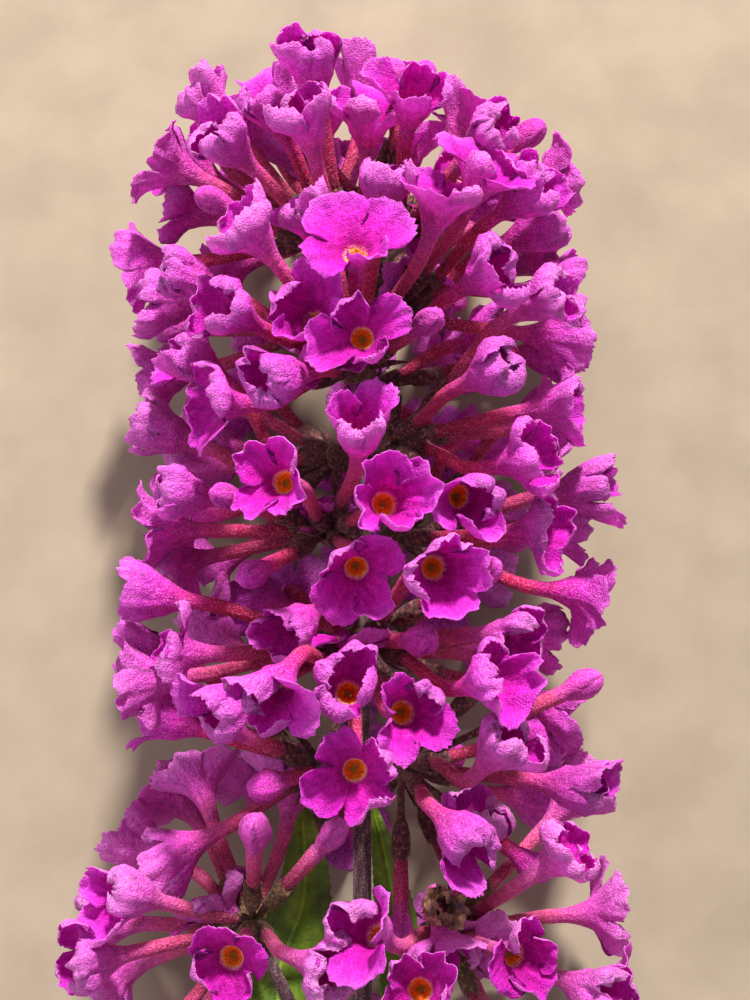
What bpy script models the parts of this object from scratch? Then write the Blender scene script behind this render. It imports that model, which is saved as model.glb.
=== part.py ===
"""Butterfly bush flower spike, picked and laid on its side.

Metres, +Z up. The spike lies along +Y with its tip at +Y, on a surface at z = 0. The layout is
worked out in millimetres and turned to metres where a mesh is made.
"""

import math
import random

import bmesh
import bpy
import numpy as np
from mathutils import Matrix, Vector
from mathutils.bvhtree import BVHTree

MM = 0.001
SEED = 23

# Lengths along the stem, from the foot of the main spike, and the height of the stem over the surface
AXIS_HEIGHT = 17.9
CUT_END = -46.0
SIDE_NODE = -27.0
STEM_TIP = 52.6

# Half thickness of the stem at its cut end, at the foot of the spike and at its tip
STEM_RADII = (1.05, 0.7, 0.4)
BRANCH_RADIUS = 0.55
CLEARANCE = 0.3
MARGIN = 0.06
FLOOR_GAP = 0.02

# The main spike is a blunt cylinder: faces lie REACH from the line between these two heights
HEART = (5.0, 49.0)
REACH = 18.2
SHORTEST, LONGEST = 11.8, 21.0

# Whorls of the main spike: height on the stem, and the turn of its two opposite bunches in degrees
WHORLS = ((2.0, 8), (12.5, 100), (22.5, 142), (30.5, 48), (37.0, 100), (42.5, 30), (47.0, 115), (50.8, 20))
BUNCH_OUT = 3.4
CORE = 1.5
SIDE_KNOT = 1.2

# The round side heads: the middle of each, across and along the stem, and how far its faces lie from it
SIDE_HEADS = {"left": (-9.6, -10.6), "right": (7.6, -11.0)}
SIDE_HEIGHT = AXIS_HEIGHT - 1.6
SIDE_REACH = 14.6

# A floret from its root to its face: half thickness of its stalk, its calyx, its tube and its throat
ROOT = 0.5
CALYX = 1.25
TUBE = 0.85
THROAT = 1.15
CALYX_FROM_FACE = 10.4
THROAT_FROM_FACE = 1.25
NECK = 0.4

# The face: thickness of its four lobes, how wide they are, how deep it is cut between them, and its eye
BLADE = 0.62
LOBE_HALF_ANGLE = math.radians(33)
NOTCH = 0.7
EYE_DIP = 0.45

# A closed bud: half thickness of its head, and how far the calyx and the head are from its end
BUD = 1.55
CALYX_FROM_BUD = 8.6
HEAD_FROM_BUD = 3.6
WIDEST_FROM_BUD = 1.7

# How a face turns from its tube: straight out, or the way that the picture shows, or flat where it lies below
OUTWARD_SHARE = 0.45
AIM_SHARE = 0.62
LIES_BELOW = -0.9

# How a seen floret is set on its line of sight: the usual length from its root, and what each miss costs
USUAL_LENGTH = 14.5
LENGTH_SLACK, REACH_SLACK, AIM_WEIGHT = 3.5, 2.2, 5.0
LEAST_OUTWARD, INWARD_WEIGHT = 0.25, 2.0
RISE = 5.0
INNER_SHARE = {"bud": 0.95, "withered": 0.72}

# How the picture was taken, to place the florets that it shows: the point looked at, in millimetres
VIEW_TARGET = Vector((1.1, 22.8, AXIS_HEIGHT + REACH))
VIEW_DISTANCE = 150.0
VIEW_LEAN = math.radians(12)
PX_PER_MM = 12.5
FRAME_MIDDLE = (375, 500)

# Florets seen on the main spike: pixel of the mouth or of a bud's end, which way it points in the
# picture and how much it leans to the viewer, in degrees, then limb, cup and turn of a lobe, and kind
SEEN = (
    (352, 248, 95, 58, 4.6, 28, 60, "open"),
    (362, 338, 90, 82, 4.4, 14, 45, "open"),
    (361, 446, 90, 52, 4.4, 32, 80, "open"),
    (283, 482, 180, 60, 4.4, 20, -10, "open"),
    (381, 506, 35, 76, 4.3, 42, 30, "open"),
    (424, 568, -45, 66, 4.5, 42, 20, "open"),
    (356, 573, -90, 66, 4.3, 20, 60, "open"),
    (413, 713, 45, 60, 4.3, 32, 60, "open"),
    (360, 764, 90, 84, 4.3, 12, 45, "open"),
    (350, 690, 85, 45, 4.2, 44, 0, "open"),
    (462, 497, 5, 55, 4.4, 44, 10, "open"),
    (502, 640, 0, 38, 4.3, 20, 30, "open"),
    (530, 530, 10, 34, 4.4, 22, 0, "open"),
    (484, 376, 15, 36, 4.2, 52, 25, "open"),
    (540, 425, 10, -12, 4.4, 12, 40, "open"),
    (318, 216, 125, 26, 4.2, 32, 30, "open"),
    (394, 204, 82, 16, 4.2, 36, 0, "open"),
    (240, 316, 150, 48, 4.6, 32, 20, "open"),
    (290, 376, 195, 28, 3.3, 56, 0, "open"),
    (184, 322, 172, -5, 4.2, 28, 15, "open"),
    (176, 374, 186, 8, 3.5, 50, 0, "open"),
    (228, 404, 172, 18, 4.2, 28, 35, "open"),
    (200, 478, 180, 6, 4.4, 28, 0, "open"),
    (268, 238, 130, 18, 3.8, 30, 10, "open"),
    (242, 264, 196, 0, 3.9, 16, 40, "open"),
    (168, 254, 177, -15, 4.6, 22, 45, "open"),
    (184, 208, 163, -6, 4.4, 26, 30, "open"),
    (208, 160, 135, -6, 4.6, 26, 0, "open"),
    (186, 178, 155, -12, 4.0, 28, 30, "open"),
    (242, 138, 124, -8, 4.2, 28, 20, "open"),
    (272, 132, 108, -10, 4.8, 32, 0, "open"),
    (320, 126, 92, 0, 4.0, 36, 0, "open"),
    (350, 102, 92, -6, 4.3, 52, 45, "open"),
    (393, 56, 88, 0, 0.0, 0, 0, "bud"),
    (421, 62, 72, 0, 0.0, 0, 0, "bud"),
    (309, 148, 102, 26, 4.0, 22, 20, "open"),
    (348, 168, 90, 8, 4.3, 16, 0, "open"),
    (400, 164, 88, 2, 4.2, 28, 40, "open"),
    (460, 132, 72, -6, 4.7, 34, 30, "open"),
    (500, 118, 84, 5, 0.0, 0, 0, "bud"),
    (546, 128, 62, 0, 0.0, 0, 0, "bud"),
    (526, 150, 40, 12, 0.0, 0, 0, "bud"),
    (468, 192, 68, 12, 4.3, 38, 20, "open"),
    (504, 214, 42, 2, 4.4, 20, 0, "open"),
    (540, 182, 14, -18, 4.0, 20, 10, "open"),
    (524, 254, 28, -10, 4.6, 16, 20, "open"),
    (430, 208, 76, 4, 3.6, 40, 0, "open"),
    (545, 290, 5, 0, 4.1, 34, 30, "open"),
    (550, 332, -5, 0, 4.0, 40, 0, "open"),
    (440, 314, -10, 40, 0.0, 0, 0, "bud"),
    (514, 462, 25, 26, 4.0, 30, 20, "open"),
    (216, 556, 200, -6, 4.2, 16, 30, "open"),
    (184, 560, 192, -30, 4.0, 16, 0, "open"),
    (204, 524, 178, -26, 4.2, 16, 20, "open"),
    (166, 598, 176, 0, 3.9, 42, 0, "open"),
    (240, 580, 218, 14, 0.0, 0, 0, "bud"),
    (570, 592, 0, -14, 4.4, 30, 0, "open"),
    (606, 672, 0, 4, 0.0, 0, 0, "bud"),
    (548, 706, -28, 14, 4.0, 44, 20, "open"),
    (166, 676, 182, -4, 4.2, 26, 0, "open"),
    (180, 656, 176, 4, 4.0, 12, 20, "open"),
    (246, 690, 204, 36, 4.3, 52, 0, "open"),
    (274, 668, 240, 30, 4.0, 34, 30, "open"),
    (190, 718, 160, -6, 4.3, 34, 0, "open"),
    (488, 744, 62, 10, 4.5, 18, 30, "open"),
    (472, 676, 40, 40, 4.0, 30, 0, "open"),
    (444, 648, 20, 62, 0.0, 0, 0, "bud"),
    (516, 786, 2, -28, 4.8, 14, 20, "open"),
    (450, 820, -38, 22, 4.3, 48, 0, "open"),
    (546, 872, -30, 6, 0.0, 0, 0, "bud"),
    (397, 950, -90, 0, 0.0, 0, 0, "bud"),
    (311, 856, -84, 10, 0.0, 0, 0, "bud"),
    (194, 840, 206, -14, 4.8, 14, 20, "open"),
    (306, 634, 236, 40, 3.9, 24, 20, "open"),
)

# Florets seen on the two side heads, in the same way
SEEN_LEFT = (
    (231, 958, 205, 66, 3.6, 18, 45, "open"),
    (150, 858, 160, 2, 4.2, 26, 0, "open"),
    (126, 912, 176, 6, 4.2, 26, 20, "open"),
    (126, 958, 202, 2, 4.2, 20, 0, "open"),
    (206, 790, 112, -30, 4.0, 20, 30, "open"),
    (176, 812, 140, -30, 3.9, 25, 0, "open"),
    (248, 792, 98, -28, 4.0, 20, 20, "open"),
    (286, 790, 84, -24, 3.8, 26, 0, "open"),
    (256, 816, 92, 0, 0.0, 0, 0, "bud"),
    (346, 820, 52, 6, 0.0, 0, 0, "bud"),
    (326, 962, -8, 26, 4.2, 36, 0, "open"),
)
SEEN_RIGHT = (
    (515, 955, 0, 44, 4.3, 18, 20, "open"),
    (552, 862, 35, 0, 4.2, 22, 0, "open"),
    (590, 914, 2, 4, 4.3, 18, 30, "open"),
    (600, 992, -12, 6, 4.2, 22, 0, "open"),
    (420, 990, 95, 68, 4.1, 22, 60, "open"),
    (372, 936, 130, 30, 3.8, 54, 45, "open"),
    (438, 908, 100, 40, 2.8, 55, 0, "withered"),
)

# Leaves at the node below: their middle line from stem to tip, and their greatest width
LEAVES = {
    "leaf_left": (((-1.3, -27.6, 16.6), (-7.4, -17.0, 12.2), (-5.2, -8.0, 11.6), (-5.6, 0.6, 12.6)), 6.4),
    "leaf_right": (((1.3, -27.6, 16.6), (3.4, -17.0, 13.2), (2.6, -8.0, 12.4), (1.0, -0.4, 13.2)), 4.4),
    "leaf_small": (((1.2, -31.0, 18.4), (4.8, -26.6, 19.0), (8.8, -21.6, 20.0), (10.4, -17.6, 20.6)), 3.2),
}
LEAF_THICK = 0.62
LEAF_ROWS = 12

# How many florets each head has, how deep the ones go that fill it up, and how near to others
MAIN_COUNT = 144
SIDE_COUNT = 18
FILL_DEPTHS = (-3.2, 0.8)
FILL_CUPS = (42, 62)
CLOSEST_FILL = 5.4

# Parts of the picture that no added floret covers: left, right, top and bottom in pixels
CLEAR = ((300, 425, 790, 945), (-100, 95, 760, 1100))

# Settling: florets that cross are turned apart, set deeper, then cupped, and at last left out
ROUNDS = 240
CUP_AFTER = 45
LEAVE_OUT_AFTER = {False: 110, True: 200}
SEEN_STEP = 0.16
FILL_STEP = 0.36
HOME_PULL = 0.12
DEEPER, HIGHER = 0.16, 0.08
CUP_STEP, MOST_CUP = math.radians(1.5), math.radians(62)
SHRINK, SMALLEST_LIMB = 0.992, 3.3
SHORTEST_BUD = 9.0
PUSH = 0.5

COLOURS = {
    "floret": (0.55, 0.04, 0.48, 1.0),
    "stem": (0.10, 0.06, 0.08, 1.0),
    "leaf": (0.06, 0.16, 0.03, 1.0),
}


class Floret:
    """One floret or bud, from its root in its bunch to the middle of its face."""

    def __init__(self, kind, group, face, aim, limb, cup, turn):
        self.kind = kind
        self.bunch, self.root, self.heart = group
        self.aim = aim
        self.limb = limb
        self.cup = math.radians(cup)
        self.turn = math.radians(turn)
        self.seen = aim is not None
        self.home = face
        self.place(face)
        self.short = self.reach < SHORTEST

    def place(self, face):
        """Put the middle of the face at a point, and turn the face outwards."""
        start, end = self.heart
        along = (face - start).dot(end - start) / max((end - start).length_squared, 1e-9)
        self.middle = start + (end - start) * min(max(along, 0.0), 1.0)
        self.face = face
        self.pressed = False
        self.reach = (face - self.middle).length
        outward = (face - self.middle).normalized()
        tube = (face - self.root).normalized()
        if self.seen:
            self.normal = tube.lerp(self.aim, AIM_SHARE).normalized()
        else:
            self.normal = tube.lerp(outward, OUTWARD_SHARE).normalized()
        if self.kind != "bud" and outward.z < LIES_BELOW:
            self.press()

    def move(self, face):
        """Put the face at a point. A seen floret keeps near the line of sight that it was set on."""
        if self.seen:
            start = VIEW_TARGET + picture_axes()[2] * VIEW_DISTANCE
            sight = (self.home - start).normalized()
            off = face - self.home
            face = face - (off - sight * off.dot(sight)) * HOME_PULL
        self.place(face)

    def press(self):
        """Lay the face flat on the surface that the spike rests on."""
        self.pressed = True
        self.face = Vector((self.face.x, self.face.y, 0.0))
        self.normal = Vector((0.0, 0.0, -1.0))
        self.cup = 0.0

    def frame(self):
        """Two directions across the face, the first one turned to the middle of a lobe."""
        across = self.normal.cross(Vector((0.31, 0.83, 0.46))).normalized()
        other = self.normal.cross(across)
        return (
            across * math.cos(self.turn) + other * math.sin(self.turn),
            other * math.cos(self.turn) - across * math.sin(self.turn),
        )


def picture_axes():
    """The directions right, up and to the viewer in the picture."""
    up = Vector((0.0, math.cos(VIEW_LEAN), math.sin(VIEW_LEAN)))
    back = Vector((0.0, -math.sin(VIEW_LEAN), math.cos(VIEW_LEAN)))
    return Vector((1.0, 0.0, 0.0)), up, back


def seen_aim(angle, lean):
    """The direction that a floret points in, from its angle in the picture and its lean to the viewer."""
    right, up, back = picture_axes()
    angle, lean = math.radians(angle), math.radians(lean)
    return (right * math.cos(angle) + up * math.sin(angle)) * math.cos(lean) + back * math.sin(lean)


def off_line(points, heart):
    """The way to each point from the nearest point of a heart line."""
    low, high = np.array(heart[0]), np.array(heart[1])
    span = high - low
    along = np.clip((points - low) @ span / max(span @ span, 1e-9), 0, 1)[:, None]
    return points - (low + along * span)


def pixel_of(point):
    """Where a point lies in the picture."""
    right, up, back = picture_axes()
    away = point - (VIEW_TARGET + back * VIEW_DISTANCE)
    scale = PX_PER_MM * VIEW_DISTANCE / -away.dot(back)
    return FRAME_MIDDLE[0] + scale * away.dot(right), FRAME_MIDDLE[1] - scale * away.dot(up)


def kept_clear(point):
    """Whether a point lies where the picture looks past the florets, at the stem and the leaves."""
    px, py = pixel_of(point)
    return any(left < px < right and top < py < bottom for left, right, top, bottom in CLEAR)


def seen_place(px, py, aim, groups, reach):
    """Where on the line of sight through a pixel a floret's face lies, and the bunch that it grows from.

    The tube should point along the aim, the face lie reach from the heart of the head, and the length be usual.
    """
    right, up, back = picture_axes()
    target = VIEW_TARGET + right * ((px - FRAME_MIDDLE[0]) / PX_PER_MM)
    target = target + up * ((FRAME_MIDDLE[1] - py) / PX_PER_MM)
    start = VIEW_TARGET + back * VIEW_DISTANCE
    sight = np.array((target - start).normalized())
    steps = np.arange(VIEW_DISTANCE - 30, VIEW_DISTANCE + 60, 0.1)[:, None]
    points = np.array(start) + steps * sight
    best = None
    for group in groups:
        root = np.array(group[1])
        out = off_line(points, group[2])
        tube = points - root
        length = np.linalg.norm(tube, axis=1)
        tube = tube / length[:, None]
        cost = AIM_WEIGHT * (1 - tube @ np.array(aim)) + ((length - USUAL_LENGTH) / LENGTH_SLACK) ** 2
        cost += ((np.linalg.norm(out, axis=1) - reach) / REACH_SLACK) ** 2
        outward = off_line(root[None], group[2])[0]
        cost += INWARD_WEIGHT * np.clip(LEAST_OUTWARD * np.linalg.norm(outward) - tube @ outward, 0, None)
        k = int(cost.argmin())
        if best is None or cost[k] < best[0]:
            best = (cost[k], Vector(points[k]), group)
    return best[1], best[2]


def bunches():
    """Name of each bunch, with the point that its florets spread from and the heart line of its head."""
    heart = (Vector((0, HEART[0], AXIS_HEIGHT)), Vector((0, HEART[1], AXIS_HEIGHT)))
    found = []
    for level, (height, turn) in enumerate(WHORLS, 1):
        for side, name in ((0, "a"), (180, "b")):
            angle = math.radians(turn + side)
            out = Vector((math.cos(angle), 0.25, math.sin(angle))) * BUNCH_OUT
            found.append((f"cyme_{level}{name}", Vector((0, height, AXIS_HEIGHT)) + out, heart))
    found.append(("tip", Vector((0, STEM_TIP + CLEARANCE + CORE, AXIS_HEIGHT)), heart))
    for name, (x, y) in SIDE_HEADS.items():
        middle = Vector((x, y, SIDE_HEIGHT))
        found.append((f"side_head_{name}", middle, (middle, middle)))
    return found


def head_candidates(draw, heart, reach, count, lowest):
    """Random points over a head: a cylinder round its heart line with a round end, or a ball."""
    start, end = heart
    length = (end - start).length
    for _ in range(count):
        along = draw.uniform(lowest, length + reach)
        angle = draw.uniform(0, 2 * math.pi)
        depth = reach + draw.uniform(*FILL_DEPTHS)
        past = max(along - length, -along, 0.0)
        radius = math.sqrt(max(depth**2 - past**2, 0.0))
        out = Vector((radius * math.cos(angle), along, radius * math.sin(angle)))
        open_side = length == 0 and (out.z > 0.5 * reach or (out.x * start.x < -50 and out.z > -5))
        if not open_side and (length == 0 or along > 0 or out.z < -6):
            yield start + out


def fill_head(florets, groups, heart, reach, total, lowest, draw):
    """Add florets where the head is barest, until it has its number or no room is left."""
    count = sum(f.heart == heart for f in florets)
    while count < total:
        best, gap = None, 0.0
        for point in head_candidates(draw, heart, reach, 260, lowest):
            nearest = min((f.face - point).length for f in florets)
            if nearest > gap and not kept_clear(point):
                best, gap = point, nearest
        if gap < CLOSEST_FILL:
            return
        bud = draw.random() < 0.1
        limb = 0.0 if bud else draw.uniform(3.7, 4.3)
        kind = "bud" if bud else "open"
        below = best - Vector((0, RISE, 0))
        group = min(groups, key=lambda item: (item[1] - below).length)
        florets.append(Floret(kind, group, best, None, limb, draw.uniform(*FILL_CUPS), draw.uniform(0, 90)))
        count += 1


def lay_out():
    """All florets, the seen ones from the picture and the others in the gaps between them."""
    draw = random.Random(SEED)
    groups = bunches()
    main = [group for group in groups if not group[0].startswith("side")]
    florets = []
    heads = [(SEEN, main, REACH, MAIN_COUNT, -8.0)]
    for rows, name in ((SEEN_LEFT, "side_head_left"), (SEEN_RIGHT, "side_head_right")):
        head = [group for group in groups if group[0] == name]
        heads.append((rows, head, SIDE_REACH, SIDE_COUNT, -SIDE_REACH))
    for rows, head, reach, _, _ in heads:
        for px, py, angle, lean, limb, cup, turn, kind in rows:
            aim = seen_aim(angle, lean)
            face, group = seen_place(px, py, aim, head, reach * INNER_SHARE.get(kind, 1.0))
            florets.append(Floret(kind, group, face, aim, limb, cup, turn))
    for _, head, reach, total, lowest in heads:
        fill_head(florets, head, head[0][2], reach, total, lowest, draw)
    return florets, groups


def rings_of(floret):
    """Distance from the root and half thickness of each ring of a floret's tube."""
    length = (floret.face - floret.root).length
    bud = floret.kind == "bud"
    calyx = max(length - (CALYX_FROM_BUD if bud else CALYX_FROM_FACE), CORE)
    rings = [(0.0, ROOT), (calyx, CALYX), (calyx + NECK, TUBE)]
    if bud:
        return rings + [(length - HEAD_FROM_BUD, TUBE), (length - WIDEST_FROM_BUD, BUD)]
    return rings + [(length - THROAT_FROM_FACE, THROAT)]


def floret_points(floret, template, grow=0.0):
    """Where a floret's template points go. Each one's z is its ring and its x and y are its angle."""
    length = (floret.face - floret.root).length
    tube = (floret.face - floret.root) / length
    side, other = floret.frame()
    bud = floret.kind == "bud"
    rings = rings_of(floret)
    points = []
    for x, y, z in template:
        ring = round(z)
        angle = math.atan2(y, x)
        if ring < len(rings):
            along, radius = rings[ring]
            base = floret.root + tube * along
            normal = tube
            if ring == 3 and not bud:
                base = floret.face - floret.normal * (length - along)
                normal = floret.normal
            flat_side = (side - normal * side.dot(normal)).normalized()
            around = flat_side * math.cos(angle) + normal.cross(flat_side) * math.sin(angle)
            point = base + around * (radius + grow * math.sqrt(2))
        elif math.hypot(x, y) < 0.5:
            dip = 0.0 if floret.pressed or bud else -EYE_DIP
            point = floret.face + floret.normal * (dip + grow)
        else:
            point = limb_point(floret, side, other, angle, ring == len(rings), grow)
        points.append(point)
    return points


def limb_point(floret, side, other, angle, under, grow):
    """A point of a face's outline, on its upper or its under side."""
    lobe = round(math.degrees(angle) / 90) * 90
    off = math.degrees(angle) - lobe
    notch = abs(off) > 40
    wide = math.radians(lobe) + math.copysign(math.radians(45) if notch else LOBE_HALF_ANGLE, off)
    size = (floret.limb + grow) * (NOTCH if notch else 1.0)
    below = BLADE + grow if under else -grow
    radius = size * math.cos(floret.cup) + below * math.sin(floret.cup)
    rise = size * math.sin(floret.cup) - below * math.cos(floret.cup)
    around = side * math.cos(wide) + other * math.sin(wide)
    return floret.face + around * radius + floret.normal * rise


def floret_template(bud):
    """A floret's faces, on rings of radius 1 stacked along z, from its root to its face."""
    bm = bmesh.new()
    rings = 5 if bud else 4
    bmesh.ops.create_circle(bm, cap_ends=True, segments=4, radius=1.0)
    bmesh.ops.rotate(bm, verts=bm.verts, matrix=Matrix.Rotation(math.radians(45), 3, "Z"))
    edge = list(bm.edges)
    for _ in range(rings - 1):
        made = bmesh.ops.extrude_edge_only(bm, edges=edge)["geom"]
        moved = [item for item in made if isinstance(item, bmesh.types.BMVert)]
        bmesh.ops.translate(bm, verts=moved, vec=(0, 0, 1))
        edge = [item for item in made if isinstance(item, bmesh.types.BMEdge) and item.is_boundary]
    if bud:
        bmesh.ops.holes_fill(bm, edges=edge)
        cap = [face for face in bm.faces if face.calc_center_median().z > rings - 1.1]
        middle = bmesh.ops.poke(bm, faces=cap)["verts"]
        bmesh.ops.translate(bm, verts=middle, vec=(0, 0, 1))
    else:
        rim = bmesh.ops.create_circle(bm, cap_ends=True, cap_tris=True, segments=12, radius=1.0)["verts"]
        bmesh.ops.rotate(bm, verts=rim, matrix=Matrix.Rotation(math.radians(15), 3, "Z"))
        bmesh.ops.translate(bm, verts=rim, vec=(0, 0, rings + 1))
        outline = [e for e in bm.edges if e.is_boundary and e.verts[0].co.z > rings]
        made = bmesh.ops.extrude_edge_only(bm, edges=outline)["geom"]
        moved = [item for item in made if isinstance(item, bmesh.types.BMVert)]
        bmesh.ops.translate(bm, verts=moved, vec=(0, 0, -1))
        under = [item for item in made if isinstance(item, bmesh.types.BMEdge) and item.is_boundary]
        bmesh.ops.bridge_loops(bm, edges=edge + under)
    bmesh.ops.triangulate(bm, faces=bm.faces)
    bmesh.ops.recalc_face_normals(bm, faces=bm.faces)
    points = [tuple(vert.co) for vert in bm.verts]
    faces = [[vert.index for vert in face.verts] for face in bm.faces]
    bm.free()
    return points, faces


def spheres(floret):
    """Balls round a floret, for a first look at which florets are near each other."""
    steps = np.linspace(0.15, 1.0, 6)[:, None]
    root, face = np.array(floret.root), np.array(floret.face)
    sizes = np.full(6, 1.9)
    sizes[-1] = max(floret.limb, BUD) + 0.8
    return root + (face - root) * steps, sizes


def near_pairs(florets):
    """Index pairs of florets that may cross."""
    balls = [spheres(f) for f in florets]
    centres = np.array([ball[0] for ball in balls])
    sizes = np.array([ball[1] for ball in balls])
    for i in range(len(florets) - 1):
        apart = np.linalg.norm(centres[i][None, :, None] - centres[i + 1 :, None], axis=-1)
        room = sizes[i][None, :, None] + sizes[i + 1 :, None]
        for j in np.flatnonzero((apart < room).any(axis=(1, 2))):
            yield i, i + 1 + int(j)


def floret_trees(floret, templates):
    """Search trees of a floret with a margin round it: all of it, and what lies past its calyx."""
    points, faces = templates[floret.kind == "bud"]
    outer = [face for face in faces if min(points[k][2] for k in face) > 1.5]
    fat = floret_points(floret, points, MARGIN)
    return BVHTree.FromPolygons(fat, faces), BVHTree.FromPolygons(fat, outer)


def turn_apart(one, other, number, draw):
    """Move two crossing florets a little way off each other, and set the deeper one deeper."""
    gap = one.face - other.face
    outward = (one.face - one.middle).normalized() + (other.face - other.middle).normalized()
    if outward.length > 1e-6:
        gap = gap - outward.normalized() * gap.dot(outward.normalized())
    if gap.length < 0.05:
        gap = Vector((draw.uniform(-1, 1), draw.uniform(-1, 1), draw.uniform(-1, 1)))
    gap.normalize()
    deeper = min((one, other), key=lambda f: (f.seen, f.reach))
    for floret, way in ((one, 1.0), (other, -1.0)):
        step = SEEN_STEP if floret.seen else FILL_STEP
        change = -DEEPER if floret is deeper else HIGHER
        reach = min(max(floret.reach + change, SHORTEST_BUD if floret.short else SHORTEST), LONGEST)
        out = (floret.face + gap * (way * step) - floret.middle).normalized()
        if number > CUP_AFTER and floret.kind != "bud":
            floret.limb = max(floret.limb * SHRINK, SMALLEST_LIMB)
            if not floret.pressed:
                floret.cup = min(floret.cup + CUP_STEP, MOST_CUP)
        floret.move(floret.middle + out * reach)


def push_off(floret, tree):
    """Move a floret a little way off a fixed piece."""
    middle = (floret.face + floret.root) / 2
    away = middle - tree.find_nearest(middle)[0]
    if away.length < 0.05:
        away = Vector((0, 0, 1.0))
    floret.move(floret.face + away.normalized() * PUSH)


def settle(florets, templates, fixed):
    """Turn, shorten and cup florets until none crosses another or a fixed piece, and leave out the last."""
    draw = random.Random(SEED + 1)
    trees = {id(f): floret_trees(f, templates) for f in florets}
    for number in range(ROUNDS):
        moved = set()
        for i, j in near_pairs(florets):
            one, other = florets[i], florets[j]
            outer = int(one.bunch == other.bunch)
            if trees[id(one)][outer].overlap(trees[id(other)][outer]):
                turn_apart(one, other, number, draw)
                moved |= {i, j}
        for i, floret in enumerate(florets):
            for owner, tree in fixed:
                if owner != floret.bunch and trees[id(floret)][0].overlap(tree):
                    push_off(floret, tree)
                    moved.add(i)
            points = floret_points(floret, templates[floret.kind == "bud"][0])
            lowest = min(point.z for point in points)
            if lowest < FLOOR_GAP and not floret.pressed:
                floret.place(floret.face + Vector((0, 0, 0.25 - lowest / 2)))
                moved.add(i)
        if not moved:
            break
        worst = [i for i in moved if number >= LEAVE_OUT_AFTER[florets[i].seen]]
        kept = [florets[i] for i in moved]
        if worst:
            kept.remove(florets.pop(min(worst, key=lambda i: florets[i].seen)))
        for floret in kept:
            trees[id(floret)] = floret_trees(floret, templates)
    return florets


def smooth_run(points, count):
    """Points along a smooth curve through the given ones."""
    points = [Vector(p) for p in points]
    ends = [points[0] * 2 - points[1], *points, points[-1] * 2 - points[-2]]
    run = []
    for k in range(count):
        place = k / (count - 1) * (len(points) - 1)
        i = min(int(place), len(points) - 2)
        t = place - i
        a, b, c, d = ends[i : i + 4]
        run.append(
            ((b * 2) + (c - a) * t + (a * 2 - b * 5 + c * 4 - d) * t**2 + (b * 3 - a - c * 3 + d) * t**3) / 2
        )
    return run


def stem_line():
    """Points up the middle of the stem with its half thickness, faintly bent as a grown stem is."""
    points, radii = [], []
    for y in np.linspace(CUT_END, STEM_TIP, 12):
        points.append(Vector((0.35 * math.sin((y + 27) / 17) if y < SIDE_NODE else 0.0, y, AXIS_HEIGHT)))
        thick, foot, tip = STEM_RADII
        radii.append(np.interp(y, (CUT_END, 0.0, STEM_TIP), (thick, foot, tip)))
    return points, radii


def branch_line(name):
    """Points up the stalk of a side head, which ends just short of its knot."""
    x, y = SIDE_HEADS[name]
    knot = Vector((x, y, SIDE_HEIGHT))
    start = Vector((0.0, SIDE_NODE, AXIS_HEIGHT))
    knee = Vector((x * 0.42, SIDE_NODE + 6.0, AXIS_HEIGHT - 0.4))
    end = knot + (knee - knot).normalized() * (CORE * SIDE_KNOT + CLEARANCE)
    return smooth_run((start, knee, end), 6)


def knot_stub(root):
    """The two ends of the short stalk between the stem and a bunch's knot."""
    out = (root - Vector((0, root.y - 0.25 * BUNCH_OUT, AXIS_HEIGHT))).normalized()
    return root - out * (BUNCH_OUT - STEM_RADII[1] - CLEARANCE - 0.1), root


def leaf_mesh(name, thickness):
    """A leaf folded along its midrib, with a wavy toothed edge, as a blade of even thickness."""
    line, width = LEAVES[name]
    middle = smooth_run(line, LEAF_ROWS + 1)
    bm = bmesh.new()
    bmesh.ops.create_grid(bm, x_segments=4, y_segments=LEAF_ROWS, size=1.0)
    for vert in bm.verts:
        row = round((vert.co.y + 1) / 2 * LEAF_ROWS)
        across = vert.co.x
        here = middle[row]
        way = (middle[min(row + 1, LEAF_ROWS)] - middle[max(row - 1, 0)]).normalized()
        side = way.cross(Vector((0, 0, 1))).normalized()
        top = side.cross(way)
        u = row / LEAF_ROWS
        half = width / 2 * max(math.sin(math.pi * min(u * 0.9 + 0.07, 1.0)), 0.0) ** 0.75 * (1 - 0.25 * u)
        if abs(across) > 0.9 and row % 2:
            half *= 0.9
        half = max(half, 0.34)
        lift = abs(across) * half * 0.3 + 0.25 * abs(across) * math.sin(row * 1.9 + across)
        vert.co = here + side * (across * half) + top * lift
    bmesh.ops.triangulate(bm, faces=bm.faces)
    skin = list(bm.faces)
    bmesh.ops.solidify(bm, geom=skin, thickness=thickness)
    bmesh.ops.triangulate(bm, faces=bm.faces)
    bmesh.ops.recalc_face_normals(bm, faces=bm.faces)
    mesh = bpy.data.meshes.new(name)
    bm.to_mesh(mesh)
    bm.free()
    return mesh


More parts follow.
